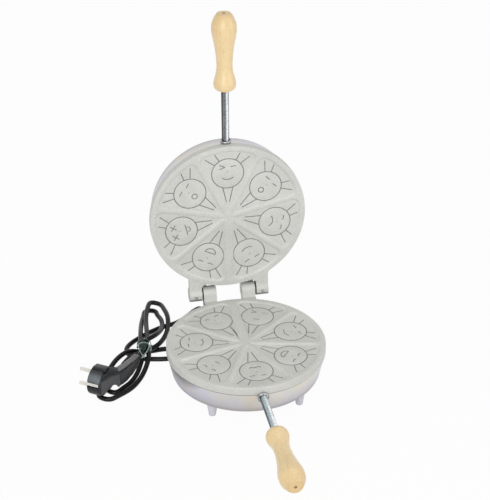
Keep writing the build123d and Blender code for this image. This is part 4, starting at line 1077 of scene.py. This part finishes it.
roomSet = {"floor": 0.86, "floorSize": 30, "floorGlow": 0.955, "world": 0.6,
           "lamps": {   # place, aim, size, power, colour
               "keyLamp": ((-0.9, -2.0, 1.1), (0, 0.05, 0.2), 1.4, 22, (1, 1, 1)),
               "fillLamp": ((1.5, -1.0, 0.7), (0, 0.05, 0.15), 1.2, 7, (0.94, 0.94, 1.0)),
               "topLamp": ((0.1, 0.3, 2.0), (0, 0.05, 0.1), 1.2, 4.5, (1, 1, 1))}}


def seenStraight(tree):   # 1 where the floor or world is seen straight, in a mirror or through glass
    path = made(tree, "ShaderNodeLightPath", {})
    first = made(tree, "ShaderNodeMath", {0: path.outputs["Is Camera Ray"], 1: path.outputs["Is Glossy Ray"]},
                 operation="MAXIMUM")
    second = made(tree, "ShaderNodeMath", {0: first.outputs[0], 1: path.outputs["Is Transmission Ray"]},
                  operation="MAXIMUM")
    return second.outputs[0]


def makeFloor():
    clearSelection()
    bpy.ops.mesh.primitive_plane_add(size=roomSet["floorSize"], location=(0, 0, 0))
    floor = bpy.context.object
    floor.name = "studioFloor"
    material, tree, shader = newMaterial("paleFloor", roughness=0.9, specular=0.1)
    fill(tree, shader, {"Base Color": opaque(roomSet["floor"])})
    glow = made(tree, "ShaderNodeEmission", {"Strength": 1.0})
    share = made(tree, "ShaderNodeMath", {0: seenStraight(tree), 1: roomSet["floorGlow"]},
                 operation="MULTIPLY")
    blend = made(tree, "ShaderNodeMixShader", {"Fac": share.outputs[0], 1: shader.outputs["BSDF"],
                                               2: glow.outputs["Emission"]})
    fill(tree, tree.nodes["Material Output"], {"Surface": blend.outputs["Shader"]})
    floor.data.materials.append(material)


def makeWorld():
    world = bpy.data.worlds.new("paleRoom")
    bpy.context.scene.world = world
    world.use_nodes = True
    tree = world.node_tree
    tree.nodes.clear()
    soft = made(tree, "ShaderNodeBackground", {"Strength": roomSet["world"]})
    white = made(tree, "ShaderNodeBackground", {"Color": opaque(1), "Strength": 1.0})
    blend = made(tree, "ShaderNodeMixShader", {"Fac": seenStraight(tree), 1: soft.outputs["Background"],
                                               2: white.outputs["Background"]})
    made(tree, "ShaderNodeOutputWorld", {"Surface": blend.outputs["Shader"]})


def makeLamp(name, place, aim, size, power, colour):
    clearSelection()
    bpy.ops.object.light_add(type="AREA", location=place)
    lamp = bpy.context.object
    lamp.name = name
    lamp.data.shape, lamp.data.size, lamp.data.energy = "SQUARE", size, power
    lamp.data.color = colour
    lamp.rotation_mode = "QUATERNION"
    lamp.rotation_quaternion = (Vector(place) - Vector(aim)).to_track_quat("Z", "Y")


makeFloor()
makeWorld()
for name, settings in roomSet["lamps"].items():
    makeLamp(name, *settings)
bpy.context.scene.view_settings.view_transform = "Standard"
print("stage: room")

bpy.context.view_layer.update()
